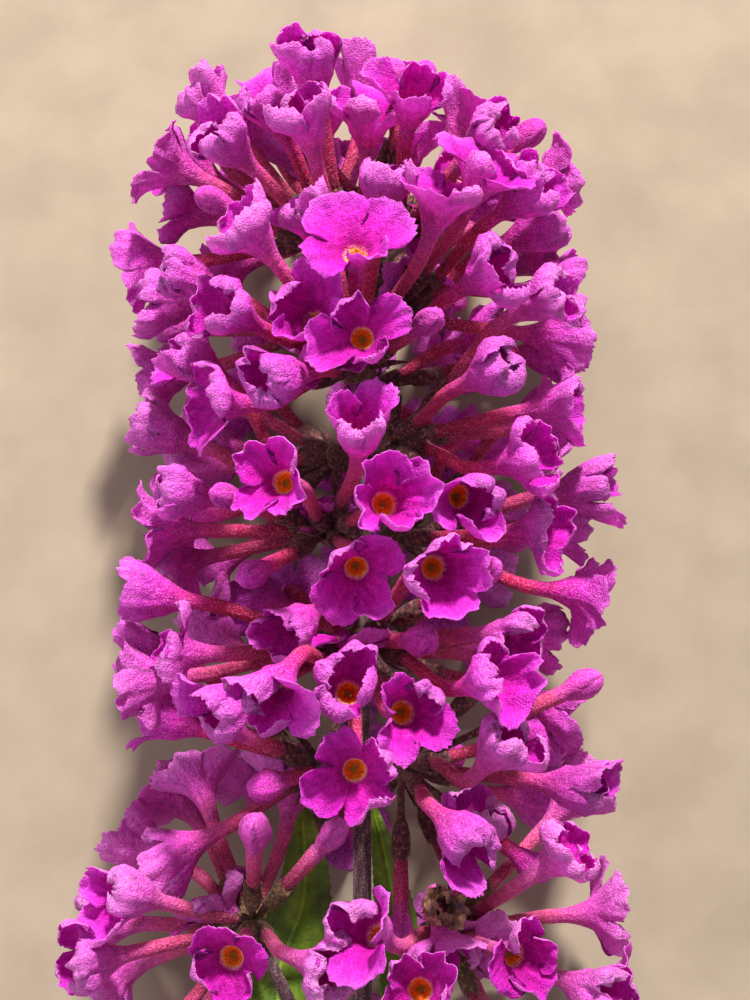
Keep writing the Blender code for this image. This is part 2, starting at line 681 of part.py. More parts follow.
def fixed_trees(groups):
    """Search trees of the stem, its branches, the leaves and the knots, each with a margin."""
    margin = CLEARANCE / 2 + 0.05
    found = []
    points, radii = stem_line()
    meshes = [(None, curve_mesh(points, [r + margin for r in radii], 1))]
    for name in SIDE_HEADS:
        line = branch_line(name)
        meshes.append((f"side_head_{name}", curve_mesh(line, [BRANCH_RADIUS + margin] * len(line), 1)))
        meshes.append(("cyme", curve_mesh(line, [BRANCH_RADIUS + margin] * len(line), 1)))
    meshes += [(None, leaf_mesh(name, LEAF_THICK + 2 * margin)) for name in LEAVES]
    for name, root, _ in groups:
        side = name.startswith("side")
        meshes.append((name, knot_mesh(root, CORE * (SIDE_KNOT if side else 1.0) + margin)))
        if name.startswith("cyme"):
            meshes.append((name, stalk_mesh(*knot_stub(root), 0.6 + margin, 0.8 + margin, 5)))
    for owner, mesh in meshes:
        faces = [tuple(face.vertices) for face in mesh.polygons]
        found.append((owner, BVHTree.FromPolygons([v.co.copy() for v in mesh.vertices], faces)))
        bpy.data.meshes.remove(mesh)
    return found


def material(name):
    """A plain material in one of the colours."""
    made = bpy.data.materials.get(name) or bpy.data.materials.new(name)
    made.use_nodes = True
    shader = made.node_tree.nodes["Principled BSDF"]
    shader.inputs["Base Color"].default_value = COLOURS[name]
    shader.inputs["Roughness"].default_value = 0.6
    shader.inputs["Metallic"].default_value = 0.0
    made.diffuse_color = COLOURS[name]
    return made


def add_object(name, mesh, collection):
    """Link a mesh to a collection as a new object."""
    made = bpy.data.objects.new(name, mesh)
    collection.objects.link(made)
    return made


def collection_named(name):
    """A new collection in the scene."""
    made = bpy.data.collections.new(name)
    bpy.context.scene.collection.children.link(made)
    return made


def floret_mesh(floret, templates):
    """A floret's closed mesh, in millimetres."""
    points, faces = templates[floret.kind == "bud"]
    mesh = bpy.data.meshes.new("floret")
    mesh.from_pydata(floret_points(floret, points), [], faces)
    return mesh


def knot_mesh(middle, radius):
    """The lumpy knot that a bunch's florets spread from."""
    bm = bmesh.new()
    bmesh.ops.create_icosphere(bm, subdivisions=1, radius=radius)
    bmesh.ops.translate(bm, verts=bm.verts, vec=middle)
    mesh = bpy.data.meshes.new("knot")
    bm.to_mesh(mesh)
    bm.free()
    return mesh


def stalk_mesh(start, end, start_radius, end_radius, sides):
    """A straight stalk between two points."""
    way = end - start
    bm = bmesh.new()
    bmesh.ops.create_cone(
        bm, cap_ends=True, segments=sides, radius1=start_radius, radius2=end_radius, depth=way.length
    )
    turn = Vector((0, 0, 1)).rotation_difference(way).to_matrix().to_4x4()
    bmesh.ops.transform(bm, matrix=Matrix.Translation((start + end) / 2) @ turn, verts=bm.verts)
    bmesh.ops.triangulate(bm, faces=bm.faces)
    mesh = bpy.data.meshes.new("stalk")
    bm.to_mesh(mesh)
    bm.free()
    return mesh


def curve_mesh(points, radii, sides_level):
    """A tapered stalk along a smooth run of points, with its ends closed."""
    curve = bpy.data.curves.new("stalk", "CURVE")
    curve.dimensions = "3D"
    curve.bevel_depth = 1.0
    curve.bevel_resolution = sides_level
    curve.use_fill_caps = True
    spline = curve.splines.new("POLY")
    spline.points.add(len(points) - 1)
    for point, place, radius in zip(spline.points, points, radii):
        point.co = (*place, 1.0)
        point.radius = radius
    holder = bpy.data.objects.new("stalk", curve)
    bpy.context.scene.collection.objects.link(holder)
    graph = bpy.context.evaluated_depsgraph_get()
    mesh = bpy.data.meshes.new_from_object(holder.evaluated_get(graph))
    bpy.data.objects.remove(holder)
    bm = bmesh.new()
    bm.from_mesh(mesh)
    bmesh.ops.remove_doubles(bm, verts=bm.verts, dist=1e-3)
    bmesh.ops.triangulate(bm, faces=bm.faces)
    bmesh.ops.recalc_face_normals(bm, faces=bm.faces)
    bm.to_mesh(mesh)
    bm.free()
    return mesh


def join(name, base, others, collection):
    """Fuse meshes into one solid with one Boolean union, and keep its outer body only."""
    pieces = collection_named(name + " pieces")
    body = add_object(name, base, collection)
    for mesh in others:
        add_object(name + " piece", mesh, pieces)
    union = body.modifiers.new("union", "BOOLEAN")
    union.operation = "UNION"
    union.operand_type = "COLLECTION"
    union.collection = pieces
    union.solver = "EXACT"
    graph = bpy.context.evaluated_depsgraph_get()
    fused = bpy.data.meshes.new_from_object(body.evaluated_get(graph))
    body.modifiers.clear()
    body.data = fused
    for item in list(pieces.objects):
        bpy.data.objects.remove(item)
    bpy.data.collections.remove(pieces)
    tidy(fused)
    return body


def tidy(mesh):
    """Merge what coincides, drop loose scraps and sealed hollows, and keep triangles."""
    bm = bmesh.new()
    bm.from_mesh(mesh)
    bmesh.ops.remove_doubles(bm, verts=bm.verts, dist=1e-4)
    bmesh.ops.dissolve_degenerate(bm, edges=bm.edges, dist=1e-4)
    left = set(bm.verts)
    bodies = []
    while left:
        stack = [left.pop()]
        body = set(stack)
        while stack:
            for edge in stack.pop().link_edges:
                for vert in edge.verts:
                    if vert in left:
                        left.discard(vert)
                        body.add(vert)
                        stack.append(vert)
        bodies.append(body)
    bodies.sort(key=len)
    for body in bodies[:-1]:
        bmesh.ops.delete(bm, geom=list(body), context="VERTS")
    bmesh.ops.triangulate(bm, faces=bm.faces)
    bm.to_mesh(mesh)
    bm.free()


def set_down(parts):
    """Put the middle of the whole at the origin, on the surface, and turn millimetres to metres."""
    corners = [vert.co for body in parts.objects for vert in body.data.vertices]
    low = [min(corner[k] for corner in corners) for k in range(3)]
    high = [max(corner[k] for corner in corners) for k in range(3)]
    middle = Vector(((low[0] + high[0]) / 2, (low[1] + high[1]) / 2, low[2]))
    for body in parts.objects:
        body.data.transform(Matrix.Scale(MM, 4) @ Matrix.Translation(-middle))
        body.data.shade_smooth()
        body.data.set_sharp_from_angle(angle=math.radians(35))


def build():
    """Make every piece of the spike."""
    parts = collection_named("butterfly_bush_flower_spike")
    templates = (floret_template(False), floret_template(True))
    florets, groups = lay_out()
    settle(florets, templates, fixed_trees(groups))
    for name, root, _ in groups:
        own = [floret_mesh(f, templates) for f in florets if f.bunch == name]
        side = name.startswith("side")
        if name.startswith("cyme"):
            own.append(stalk_mesh(*knot_stub(root), 0.6, 0.8, 5))
        body = join(name, knot_mesh(root, CORE * (SIDE_KNOT if side else 1.0)), own, parts)
        body.data.materials.append(material("floret"))
    branches = [curve_mesh(branch_line(name), [BRANCH_RADIUS] * 6, 1) for name in SIDE_HEADS]
    stem = join("stem", curve_mesh(*stem_line(), 2), branches, parts)
    stem.data.materials.append(material("stem"))
    for name in LEAVES:
        leaf = add_object(name, leaf_mesh(name, LEAF_THICK), parts)
        leaf.data.materials.append(material("leaf"))
    set_down(parts)


if __name__ == "__main__":
    for item in list(bpy.data.objects):
        bpy.data.objects.remove(item)
    build()
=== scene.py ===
"""Butterfly bush flower spike, laid on its side: the finish of every surface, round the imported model."""

import math
import random

import bmesh
import bpy
import numpy as np
from mathutils import Matrix, Vector


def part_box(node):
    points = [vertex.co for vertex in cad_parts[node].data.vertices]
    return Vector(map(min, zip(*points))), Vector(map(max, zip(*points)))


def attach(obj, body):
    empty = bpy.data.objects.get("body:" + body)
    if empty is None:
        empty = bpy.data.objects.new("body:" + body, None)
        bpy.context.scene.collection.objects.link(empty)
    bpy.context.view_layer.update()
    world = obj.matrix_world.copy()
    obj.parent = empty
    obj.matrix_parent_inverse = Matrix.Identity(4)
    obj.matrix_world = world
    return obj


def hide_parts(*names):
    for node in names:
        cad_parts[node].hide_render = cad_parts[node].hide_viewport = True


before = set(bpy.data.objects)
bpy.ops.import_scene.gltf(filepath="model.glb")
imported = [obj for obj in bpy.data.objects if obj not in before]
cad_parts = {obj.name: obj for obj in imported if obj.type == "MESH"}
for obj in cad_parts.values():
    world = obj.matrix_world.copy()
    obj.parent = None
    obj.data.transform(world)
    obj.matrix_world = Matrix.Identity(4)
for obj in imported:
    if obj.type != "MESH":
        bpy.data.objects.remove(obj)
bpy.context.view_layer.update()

# The stem: one grown stalk that runs up through the spike, with the stalks of the two side heads.
# It is woody, faintly four-angled and dark purple-grey under short whitish felt. It was cut
# straight across, so its lower end shows pale pith in a ring of green wood.

MM = 0.001
AXIS_HEIGHT = 17.9
CUT_END, SIDE_NODE, STEM_TIP = -46.0, -27.0, 52.6
STEM_RADII = (1.05, 0.7, 0.4)
BRANCH_RADIUS = 0.55
SIDE_HEADS = {"left": (-9.6, -10.6), "right": (7.6, -11.0)}
SIDE_HEIGHT = AXIS_HEIGHT - 1.6
WHORLS = ((2.0, 8), (12.5, 100), (22.5, 142), (30.5, 48), (37.0, 100), (42.5, 30), (47.0, 115), (50.8, 20))
STEM_ROWS, STEM_SIDES = 112, 28
CUT_EDGE = 0.05
PITH_RADIUS, WOOD_RADIUS = 0.4, 0.85
BRANCH_ROWS, BRANCH_SIDES = 22, 16
BRANCH_KNEE = (0.42, 6.0, -0.4)
STEM_ANGLES = 0.06
STEM_SWAY, SWAY_LENGTH = 0.35, 17
NODE_SWELLING, NODE_LENGTH, SWOLLEN_BELOW = 0.28, 1.1, 40

stem_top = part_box("stem")[1].y
tip_x = [vert.co.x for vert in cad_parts["stem"].data.vertices if vert.co.y > stem_top - MM]
FOOT = Vector(((min(tip_x) + max(tip_x)) / 2, stem_top - STEM_TIP * MM, 0.0))
TO_ROW = Matrix.Translation(FOOT) @ Matrix.Scale(MM, 4)


def finished_mesh(name, bm):
    """The mesh of a bmesh that is done."""
    mesh = bpy.data.meshes.new(name)
    bm.to_mesh(mesh)
    bm.free()
    return mesh


class RingStack:
    """A closed stack of rings of radius 1, a step apart along z, to be shaped corner by corner."""

    def __init__(self, counts):
        bm = bmesh.new()
        edge = []
        for level, count in enumerate(counts):
            if level and count == counts[level - 1]:
                made = bmesh.ops.extrude_edge_only(bm, edges=edge)["geom"]
                ring = [item for item in made if isinstance(item, bmesh.types.BMVert)]
                bmesh.ops.translate(bm, verts=ring, vec=(0, 0, 1))
                sides = [item for item in made if isinstance(item, bmesh.types.BMEdge)]
                edge = [item for item in sides if item.is_boundary]
            else:
                ring = bmesh.ops.create_circle(bm, segments=count, radius=1.0)["verts"]
                bmesh.ops.translate(bm, verts=ring, vec=(0, 0, level))
                fresh = list(dict.fromkeys(item for vert in ring for item in vert.link_edges))
                if edge:
                    bmesh.ops.bridge_loops(bm, edges=edge + fresh)
                edge = fresh
        bmesh.ops.holes_fill(bm, edges=[item for item in bm.edges if item.is_boundary])
        caps = [face for face in bm.faces if len(face.verts) in (counts[0], counts[-1])]
        caps = [face for face in caps if face.normal.length < 0.1 or abs(face.normal.z) > 0.9]
        for hub in bmesh.ops.poke(bm, faces=caps)["verts"]:
            hub.co.z += 1 if hub.co.z > 0.5 else -1
        bmesh.ops.recalc_face_normals(bm, faces=bm.faces)
        self.mesh = finished_mesh("ring stack", bm)
        corners = np.array([vert.co for vert in self.mesh.vertices])
        self.last = len(counts) - 1
        self.hub = np.hypot(corners[:, 0], corners[:, 1]) < 0.5
        self.level = np.rint(corners[:, 2]).astype(int)
        self.ring = np.clip(self.level, 0, self.last)
        self.angle = np.arctan2(corners[:, 1], corners[:, 0])


def unit(vectors):
    """Vectors brought to length 1."""
    vectors = np.asarray(vectors, float)
    return vectors / np.maximum(np.linalg.norm(vectors, axis=-1, keepdims=True), 1e-12)


def swept(stack, line, radii, across=(0.0, 0.0, 1.0)):
    """Corners of a ring stack drawn along a line, with a point for each ring and a radius for each corner."""
    line = np.asarray(line, float)
    way = unit(np.gradient(line, axis=0))
    side = unit(np.asarray(across) - way * (way @ np.asarray(across))[:, None])
    other = np.cross(way, side)
    out = side[stack.ring] * np.cos(stack.angle)[:, None] + other[stack.ring] * np.sin(stack.angle)[:, None]
    return line[stack.ring] + out * np.where(stack.hub, 0.0, radii)[:, None]


def shaped_mesh(name, stacks, points, values):
    """One mesh of several ring stacks with their corners at these points, and named values on the corners."""
    bm = bmesh.new()
    for stack in stacks:
        bm.from_mesh(stack.mesh)
    mesh = finished_mesh(name, bm)
    mesh.vertices.foreach_set("co", np.concatenate(points).astype(np.float32).ravel())
    for key, rows in values.items():
        rows = np.concatenate(rows).astype(np.float32)
        flat = rows.ndim == 1
        layer = mesh.attributes.new(key, "FLOAT" if flat else "FLOAT_VECTOR", "POINT")
        layer.data.foreach_set("value" if flat else "vector", rows.ravel())
    mesh.transform(TO_ROW)
    mesh.shade_smooth()
    return mesh


def linked(name, data):
    """A mesh, a lamp or a camera as an object in the scene."""
    made = bpy.data.objects.new(name, data)
    bpy.context.scene.collection.objects.link(made)
    return made


def add_piece(name, mesh, finish, slot, *nodes):
    """Link a mesh as a piece of the object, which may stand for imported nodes."""
    piece = linked(name, mesh)
    mesh.materials.clear()
    mesh.materials.append(finish)
    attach(piece, "root")
    if nodes:
        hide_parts(*nodes)
    return piece


def linear(code, alpha=1.0):
    """An sRGB hex colour as linear light."""
    parts = [int(code[k : k + 2], 16) / 255 for k in (1, 3, 5)]
    return (*[c / 12.92 if c <= 0.04045 else ((c + 0.055) / 1.055) ** 2.4 for c in parts], alpha)


def new_finish(name, **settings):
    """A material: its node tree, its Principled shader with these settings, and the place on the object."""
    finish = bpy.data.materials.new(name)
    finish.use_nodes = True
    tree = finish.node_tree
    shader = tree.nodes["Principled BSDF"]
    for key, value in settings.items():
        shader.inputs[key.replace("_", " ")].default_value = value
    return finish, tree, shader, add_node(tree, "TexCoord", out="Object")


def add_node(tree, kind, sockets=(), stops=(), out=None, into=None, **settings):
    """Add a node with its settings, the values or links of its inputs and a ramp's stops, and link it on."""
    made = tree.nodes.new("ShaderNode" + kind)
    for key, value in settings.items():
        setattr(made, key, value)
    for key, value in dict(sockets).items():
        if isinstance(value, bpy.types.NodeSocket):
            tree.links.new(value, made.inputs[key])
        else:
            made.inputs[key].default_value = value
    for k, (place, colour) in enumerate(stops):
        band = made.color_ramp.elements
        step = band[k] if k < 2 else band.new(place)
        step.position = place
        step.color = linear(colour)
    output = made.outputs[out] if out else next(socket for socket in made.outputs if socket.enabled)
    if into:
        tree.links.new(output, into)
    return output


def felt_finish():
    """Felted green wood: matt, dark purple-grey, with pale felt along the ridges and a pale cut end."""
    pale = {"Sheen_Weight": 0.5, "Sheen_Roughness": 0.4, "Sheen_Tint": linear("#E9DDE6")}
    finish, tree, shader, place = new_finish("felted young wood", Roughness=0.85, **pale)
    stretched = add_node(tree, "Mapping", {"Vector": place, "Scale": (1.0, 0.25, 1.0)})
    streaks = add_node(tree, "TexNoise", {"Vector": stretched, "Scale": 1 / (0.45 * MM), "Detail": 4.0})
    grains = add_node(tree, "TexNoise", {"Vector": place, "Scale": 1 / (0.16 * MM)})
    tone = add_node(tree, "Math", {0: streaks, 1: grains}, operation="ADD")
    half = add_node(tree, "Math", {0: tone, 1: 0.5}, operation="MULTIPLY")
    stops = ((0.32, "#2C1820"), (0.48, "#4F343E"), (0.58, "#7A5F66"), (0.7, "#A99A9A"))
    bark = add_node(tree, "ValToRGB", {"Fac": half}, stops)
    middle = TO_ROW @ Vector((0, CUT_END, AXIS_HEIGHT))
    from_middle = add_node(tree, "VectorMath", {0: place, 1: tuple(middle)}, operation="DISTANCE")
    across_cut = add_node(tree, "MapRange", {"Value": from_middle, "From Max": WOOD_RADIUS * MM})
    pith_edge = PITH_RADIUS / WOOD_RADIUS
    stops = ((pith_edge - 0.05, "#E4DCC2"), (pith_edge, "#C9C690"), (1.0, "#7C7A46"))
    cut = add_node(tree, "ValToRGB", {"Fac": across_cut}, stops)
    height = add_node(tree, "SeparateXYZ", {"Vector": place}, out="Y")
    at_cut = add_node(tree, "Math", {0: height, 1: middle.y + CUT_EDGE * MM / 2}, operation="LESS_THAN")
    ended = {"Factor": at_cut, "A": bark, "B": cut}
    add_node(tree, "Mix", ended, data_type="RGBA", into=shader.inputs["Base Color"])
    relief = {"Height": half, "Distance": 0.08 * MM, "Strength": 0.8}
    add_node(tree, "Bump", relief, into=shader.inputs["Normal"])
    return finish


def stem_line():
    """Points up the middle of the stem and its half thickness, in millimetres."""
    heights = np.append(CUT_END, np.linspace(CUT_END + CUT_EDGE, STEM_TIP, STEM_ROWS - 1))
    sway = np.where(heights < SIDE_NODE, STEM_SWAY * np.sin((heights - SIDE_NODE) / SWAY_LENGTH), 0.0)
    line = np.stack([sway, heights, np.full(STEM_ROWS, AXIS_HEIGHT)], axis=1)
    return line, np.interp(heights, (CUT_END, 0.0, STEM_TIP), STEM_RADII)


def smooth_run(points, count):
    """Points along a smooth curve through the given ones."""
    points = [Vector(p) for p in points]
    ends = [points[0] * 2 - points[1], *points, points[-1] * 2 - points[-2]]
    run = []
    for k in range(count):
        place = k / (count - 1) * (len(points) - 1)
        i = min(int(place), len(points) - 2)
        t = place - i
        a, b, c, d = ends[i : i + 4]
        bend = (a * 2 - b * 5 + c * 4 - d) * t**2 + (b * 3 - a - c * 3 + d) * t**3
        run.append((b * 2 + (c - a) * t + bend) / 2)
    return run


def branch_line(name):
    """Points up the stalk of a side head, from the stem to its knot."""
    x, y = SIDE_HEADS[name]
    start = Vector((0.0, SIDE_NODE, AXIS_HEIGHT))
    share, rise, drop = BRANCH_KNEE
    knee = Vector((x * share, SIDE_NODE + rise, AXIS_HEIGHT + drop))
    return smooth_run((start, knee, Vector((x, y, SIDE_HEIGHT))), BRANCH_ROWS)


stem_stack = RingStack([STEM_SIDES] * STEM_ROWS)
line, radii = stem_line()
for height, _ in (*WHORLS, (SIDE_NODE, 0)):
    swelling = NODE_SWELLING * np.exp(-(((line[:, 1] - height) / NODE_LENGTH) ** 2))
    radii = radii + swelling * (height < SWOLLEN_BELOW)
angled = radii[stem_stack.ring] * (1 + STEM_ANGLES * np.cos(4 * stem_stack.angle))
stem_stacks, stem_points = [stem_stack], [swept(stem_stack, line, angled)]
branch_stack = RingStack([BRANCH_SIDES] * BRANCH_ROWS)
for name in SIDE_HEADS:
    stem_stacks.append(branch_stack)
    stem_points.append(swept(branch_stack, branch_line(name), np.full(len(branch_stack.ring), BRANCH_RADIUS)))
made = shaped_mesh("stem_and_branches", stem_stacks, stem_points, {})
add_piece("stem_and_branches", made, felt_finish(), "stem", "stem")

# The felt: short pale hairs all over the stem and the side stalks, each a thin closed spike that
# leans up the stalk. The calyces and the tubes carry the same hairs.

HAIR_RADIUS = 0.02
STEM_HAIRS, BRANCH_HAIRS = 3200, 700
STEM_HAIR_LENGTH = (0.14, 0.34)
HAIR_LEAN, HAIR_SCATTER = 0.5, 0.3
OFF_EVERY_STALK = (0.31, 0.17, 0.93)


class HairTuft:
    """A number of thin pointed hairs, each a closed cone of three sides, to be set on a surface."""

    def __init__(self, count):
        bm = bmesh.new()
        bmesh.ops.create_cone(bm, cap_ends=True, segments=3, radius1=1.0, radius2=0.0, depth=1.0)
        made = 1
        while made < count:
            more = min(made, count - made)
            chosen = [face for face in bm.faces if face.calc_center_median().z < 2 * more - 1]
            twins = bmesh.ops.duplicate(bm, geom=chosen)["geom"]
            corners = [item for item in twins if isinstance(item, bmesh.types.BMVert)]
            bmesh.ops.translate(bm, verts=corners, vec=(0, 0, 2 * made))
            made += more
        self.mesh = finished_mesh("tuft", bm)
        corners = np.array([vert.co for vert in self.mesh.vertices])
        self.count = count
        self.hair = np.rint(corners[:, 2] / 2).astype(int)
        self.tip = corners[:, 2] > self.hair * 2
        self.angle = np.arctan2(corners[:, 1], corners[:, 0])

    def grown(self, middles, ways, radii, lengths, seed):
        """Corners of hairs that stand round a stalk, at these points of its middle."""
        draw = np.random.default_rng(seed)
        ways = unit(ways)
        side = unit(np.cross(ways, OFF_EVERY_STALK))
        turn = draw.uniform(0, 2 * math.pi, self.count)[:, None]
        out = side * np.cos(turn) + np.cross(ways, side) * np.sin(turn)
        starts = middles + out * (np.asarray(radii)[:, None] - HAIR_RADIUS)
        lean = unit(out + ways * HAIR_LEAN + draw.normal(0, HAIR_SCATTER, (self.count, 3)))
        length = draw.uniform(*lengths, self.count)[:, None]
        across = unit(np.cross(lean, ways))
        over = np.cross(lean, across)
        base = across[self.hair] * np.cos(self.angle)[:, None]
        base = base + over[self.hair] * np.sin(self.angle)[:, None]
        foot = starts[self.hair] + base * HAIR_RADIUS
        return np.where(self.tip[:, None], (starts + lean * length)[self.hair], foot)


def hair_finish(name, colour):
    """Dry plant hair: a matt pale fibre, a little paler or darker from patch to patch."""
    finish, tree, shader, place = new_finish(name, Roughness=0.7)
    patch = add_node(tree, "TexNoise", {"Vector": place, "Scale": 1 / (1.5 * MM)})
    value = add_node(tree, "MapRange", {"Value": patch, "To Min": 0.6, "To Max": 1.3})
    shaded = {"Value": value, "Color": linear(colour)}
    add_node(tree, "HueSaturation", shaded, into=shader.inputs["Base Color"])
    return finish


def hairs_on_line(tuft, line, radii, lengths, seed):
    """Corners of hairs scattered along a line with a radius at each of its points."""
    draw = np.random.default_rng([seed, 1])
    line = np.asarray(line, float)
    places = draw.uniform(0.5, len(line) - 1.5, tuft.count)
    low = places.astype(int)
    part = (places - low)[:, None]
    middles = line[low] * (1 - part) + line[low + 1] * part
    return tuft.grown(middles, line[low + 1] - line[low], np.asarray(radii)[low], lengths, seed)


stem_tuft, branch_tuft = HairTuft(STEM_HAIRS), HairTuft(BRANCH_HAIRS)
tufts = [stem_tuft]
points = [hairs_on_line(stem_tuft, line, radii, STEM_HAIR_LENGTH, 11)]
for seed, name in enumerate(SIDE_HEADS, 12):
    tufts.append(branch_tuft)
    widths = np.full(BRANCH_ROWS, BRANCH_RADIUS)
    points.append(hairs_on_line(branch_tuft, branch_line(name), widths, STEM_HAIR_LENGTH, seed))
made = shaped_mesh("hairs_stem", tufts, points, {})
add_piece("hairs_stem", made, hair_finish("stem felt", "#B9A6AC"), "stem")

# The bunches: each grows from a short felted stalk and a lumpy knot. Every packed floret is found
# again in its node by its corners: a face has twelve round its eye, and a bud four round its tip.

EYE_CORNERS, TIP_CORNERS = 12, 4
EYE_DIP = 0.45
BUD_EDGE = (2.15, 2.45)
BUNCH_OUT, BUNCH_RISE = 3.4, 0.25
TIP_KNOT = 1.8
TOUCHING, SAME_PLACE = 1e-3, 1e-4


class Floret:
    """A floret or a closed bud of a packed bunch: its root, its face, and how that is turned and cupped."""

    def __init__(self, bunch, root, face, normal, side, limb, cup):
        self.bunch = bunch
        self.root = np.array(root)
        self.face = np.array(face)
        self.normal = np.array(normal)
        self.side = np.array(side)
        self.limb = limb
        self.cup = cup
        self.bud = limb == 0
        self.wide_open = False
        self.tube = unit(self.face - self.root)
        self.length = float(np.linalg.norm(self.face - self.root))


def bunch_roots():
    """The point that the florets of each bunch spread from."""
    roots = {"tip": Vector((0, STEM_TIP + TIP_KNOT, AXIS_HEIGHT))}
    for level, (height, turn) in enumerate(WHORLS, 1):
        for side, name in ((0, "a"), (180, "b")):
            angle = math.radians(turn + side)
            out = Vector((math.cos(angle), BUNCH_RISE, math.sin(angle))) * BUNCH_OUT
            roots[f"cyme_{level}{name}"] = Vector((0, height, AXIS_HEIGHT)) + out
    for name, (x, y) in SIDE_HEADS.items():
        roots[f"side_head_{name}"] = Vector((x, y, SIDE_HEIGHT))
    return roots


def ring_round(vert):
    """The corners round a corner, in order."""
    after = {loop.link_loop_next.vert: loop.link_loop_prev.vert for loop in vert.link_loops}
    ring = [next(iter(after))]
    while len(ring) < len(after):
        ring.append(after[ring[-1]])
    return [item.co.copy() for item in ring]


def read_face(ring):
    """The four notches of a face, its normal and the corners of one lobe, from its twelve outer corners."""
    middle = sum(ring, Vector()) / len(ring)
    first = min(range(3), key=lambda k: sum((p - middle).length for p in ring[k::3]))
    notches = ring[first::3]
    normal = (notches[0] - notches[2]).cross(notches[1] - notches[3]).normalized()
    return notches, normal, ring[(first + 1) % 12], ring[(first + 2) % 12]


def read_florets(name, root):
    """The florets and buds of a packed bunch, in millimetres."""
    bm = bmesh.new()
    bm.from_mesh(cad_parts[name].data)
    bmesh.ops.transform(bm, matrix=TO_ROW.inverted(), verts=bm.verts)
    bmesh.ops.remove_doubles(bm, verts=bm.verts, dist=TOUCHING)
    lying = [face for face in bm.faces if max(abs(vert.co.z) for vert in face.verts) < TOUCHING]
    bmesh.ops.dissolve_faces(bm, faces=lying)
    found = []
    for face in bm.faces:
        if len(face.verts) == EYE_CORNERS:
            ring = [vert.co.copy() for vert in face.verts]
            found.append((ring, sum(ring, Vector()) / EYE_CORNERS, True))
    for vert in bm.verts:
        if len(vert.link_faces) == EYE_CORNERS == len(vert.link_edges) and vert.co.z > TOUCHING:
            found.append((ring_round(vert), vert.co.copy(), False))
    florets = []
    for ring, eye, pressed in found:
        notches, normal, one, two = read_face(ring)
        face = eye if pressed else eye + normal * EYE_DIP
        tips = [p - face for p in ring if all((p - q).length > SAME_PLACE for q in notches)]
        limb = sum(tip.length for tip in tips) / len(tips)
        cup = math.asin(max(min(sum(tip.dot(normal) for tip in tips) / len(tips) / limb, 1), -1))
        side = (one + two) / 2 - face
        side = (side - normal * side.dot(normal)).normalized()
        florets.append(Floret(name, root, face, normal, side, limb, cup))
    for vert in bm.verts:
        around = [edge.other_vert(vert).co for edge in vert.link_edges]
        is_tip = all(BUD_EDGE[0] < (p - vert.co).length < BUD_EDGE[1] for p in around)
        if len(around) == TIP_CORNERS and is_tip:
            normal = (vert.co - sum(around, Vector()) / TIP_CORNERS).normalized()
            side = (around[0] - vert.co).cross(normal).normalized()
            florets.append(Floret(name, root, vert.co.copy(), normal, side, 0, 0))
    bm.free()
    return sorted(florets, key=lambda f: (round(f.face[1], 2), round(f.face[0], 2)))


roots = bunch_roots()
florets = {name: read_florets(name, root) for name, root in roots.items()}

# A calyx: the small felted cup that a floret's tube grows from, dark brown-purple, with four blunt
# teeth. It stands on a thin stalk of its own, and the stalks of a bunch meet in its knot.

CALYX_FROM_FACE = {False: 10.4, True: 8.6}
SHORTEST_STALK = 1.5
CALYX_LENGTH, LONGEST_CUP = 3.0, 0.75
CALYX_SIDES = 20
KNOT_RADIUS = 1.25
STALK_PROFILE = ((0.0, 0.42), (0.35, 0.3), (0.8, 0.32))
CUP_PROFILE = ((0.0, 0.38), (0.14, 0.62), (0.4, 0.8), (0.75, 0.84), (1.0, 0.8))
TEETH, BETWEEN_TEETH = 0.5, -0.3
CUP_WALL = 0.14
CUP_INSIDE = (0.05, 0.9)
CUP_FLOOR = 0.5
KNOT_ROWS, KNOT_LUMPS = 9, 0.07
PEDUNCLE_RADIUS = 0.62
BRACT_PROFILE = (0.22, 0.4, 0.46, 0.4, 0.3, 0.17, 0.05)
BRACT_LENGTH = (2.2, 4.2)
BRACTS = {False: 7, True: 14}
BRACT_START, BRACT_BEND, BRACT_SPREAD = 0.7, 0.4, 0.35
FLATNESS = 0.3
CALYX_HAIRS, HAIR_PLACES = 44, 9
CALYX_HAIR_LENGTH = (0.15, 0.36)
GREEN_KNOT, GREEN_CALYX = {False: 0.25, True: 1.0}, {False: 0.12, True: 0.6}
GREEN_AT_FOOT, GREEN_BRACT_ROWS = 1.3, 4

calyx_stack = RingStack([CALYX_SIDES] * (len(STALK_PROFILE) + len(CUP_PROFILE) + 2))
knot_stack = RingStack([16] * KNOT_ROWS)
peduncle_stack = RingStack([12] * 6)
bract_stack = RingStack([8] * len(BRACT_PROFILE))
calyx_tuft = HairTuft(CALYX_HAIRS)


def calyx_end(floret):
    """Distance from a floret's root to the mouth of its calyx."""
    return max(floret.length - CALYX_FROM_FACE[floret.bud], SHORTEST_STALK)


def calyx_points(floret, draw):
    """Corners of a floret's stalk and calyx."""
    end = calyx_end(floret)
    cup = min(CALYX_LENGTH, end * LONGEST_CUP)
    along = [share * (end - cup) for share, _ in STALK_PROFILE]
    along += [end - cup + share * cup for share, _ in CUP_PROFILE]
    along += [end - depth for depth in CUP_INSIDE]
    radii = [radius for _, radius in STALK_PROFILE + CUP_PROFILE]
    radii += [CUP_PROFILE[-1][1] - CUP_WALL, CUP_FLOOR]
    along, radii = np.array(along), np.array(radii)
    line = floret.root + floret.tube * along[:, None]
    points = swept(calyx_stack, line, radii[calyx_stack.ring], floret.side)
    mouth = len(STALK_PROFILE) + len(CUP_PROFILE) - 1
    turn = draw.uniform(0, math.pi)
    teeth = TEETH * np.maximum(np.cos(2 * calyx_stack.angle + turn), BETWEEN_TEETH) ** 2
    lift = np.where((calyx_stack.ring == mouth) | (calyx_stack.ring == mouth + 1), teeth, 0.0)
    return points + floret.tube * np.where(calyx_stack.hub, 0.0, lift)[:, None]


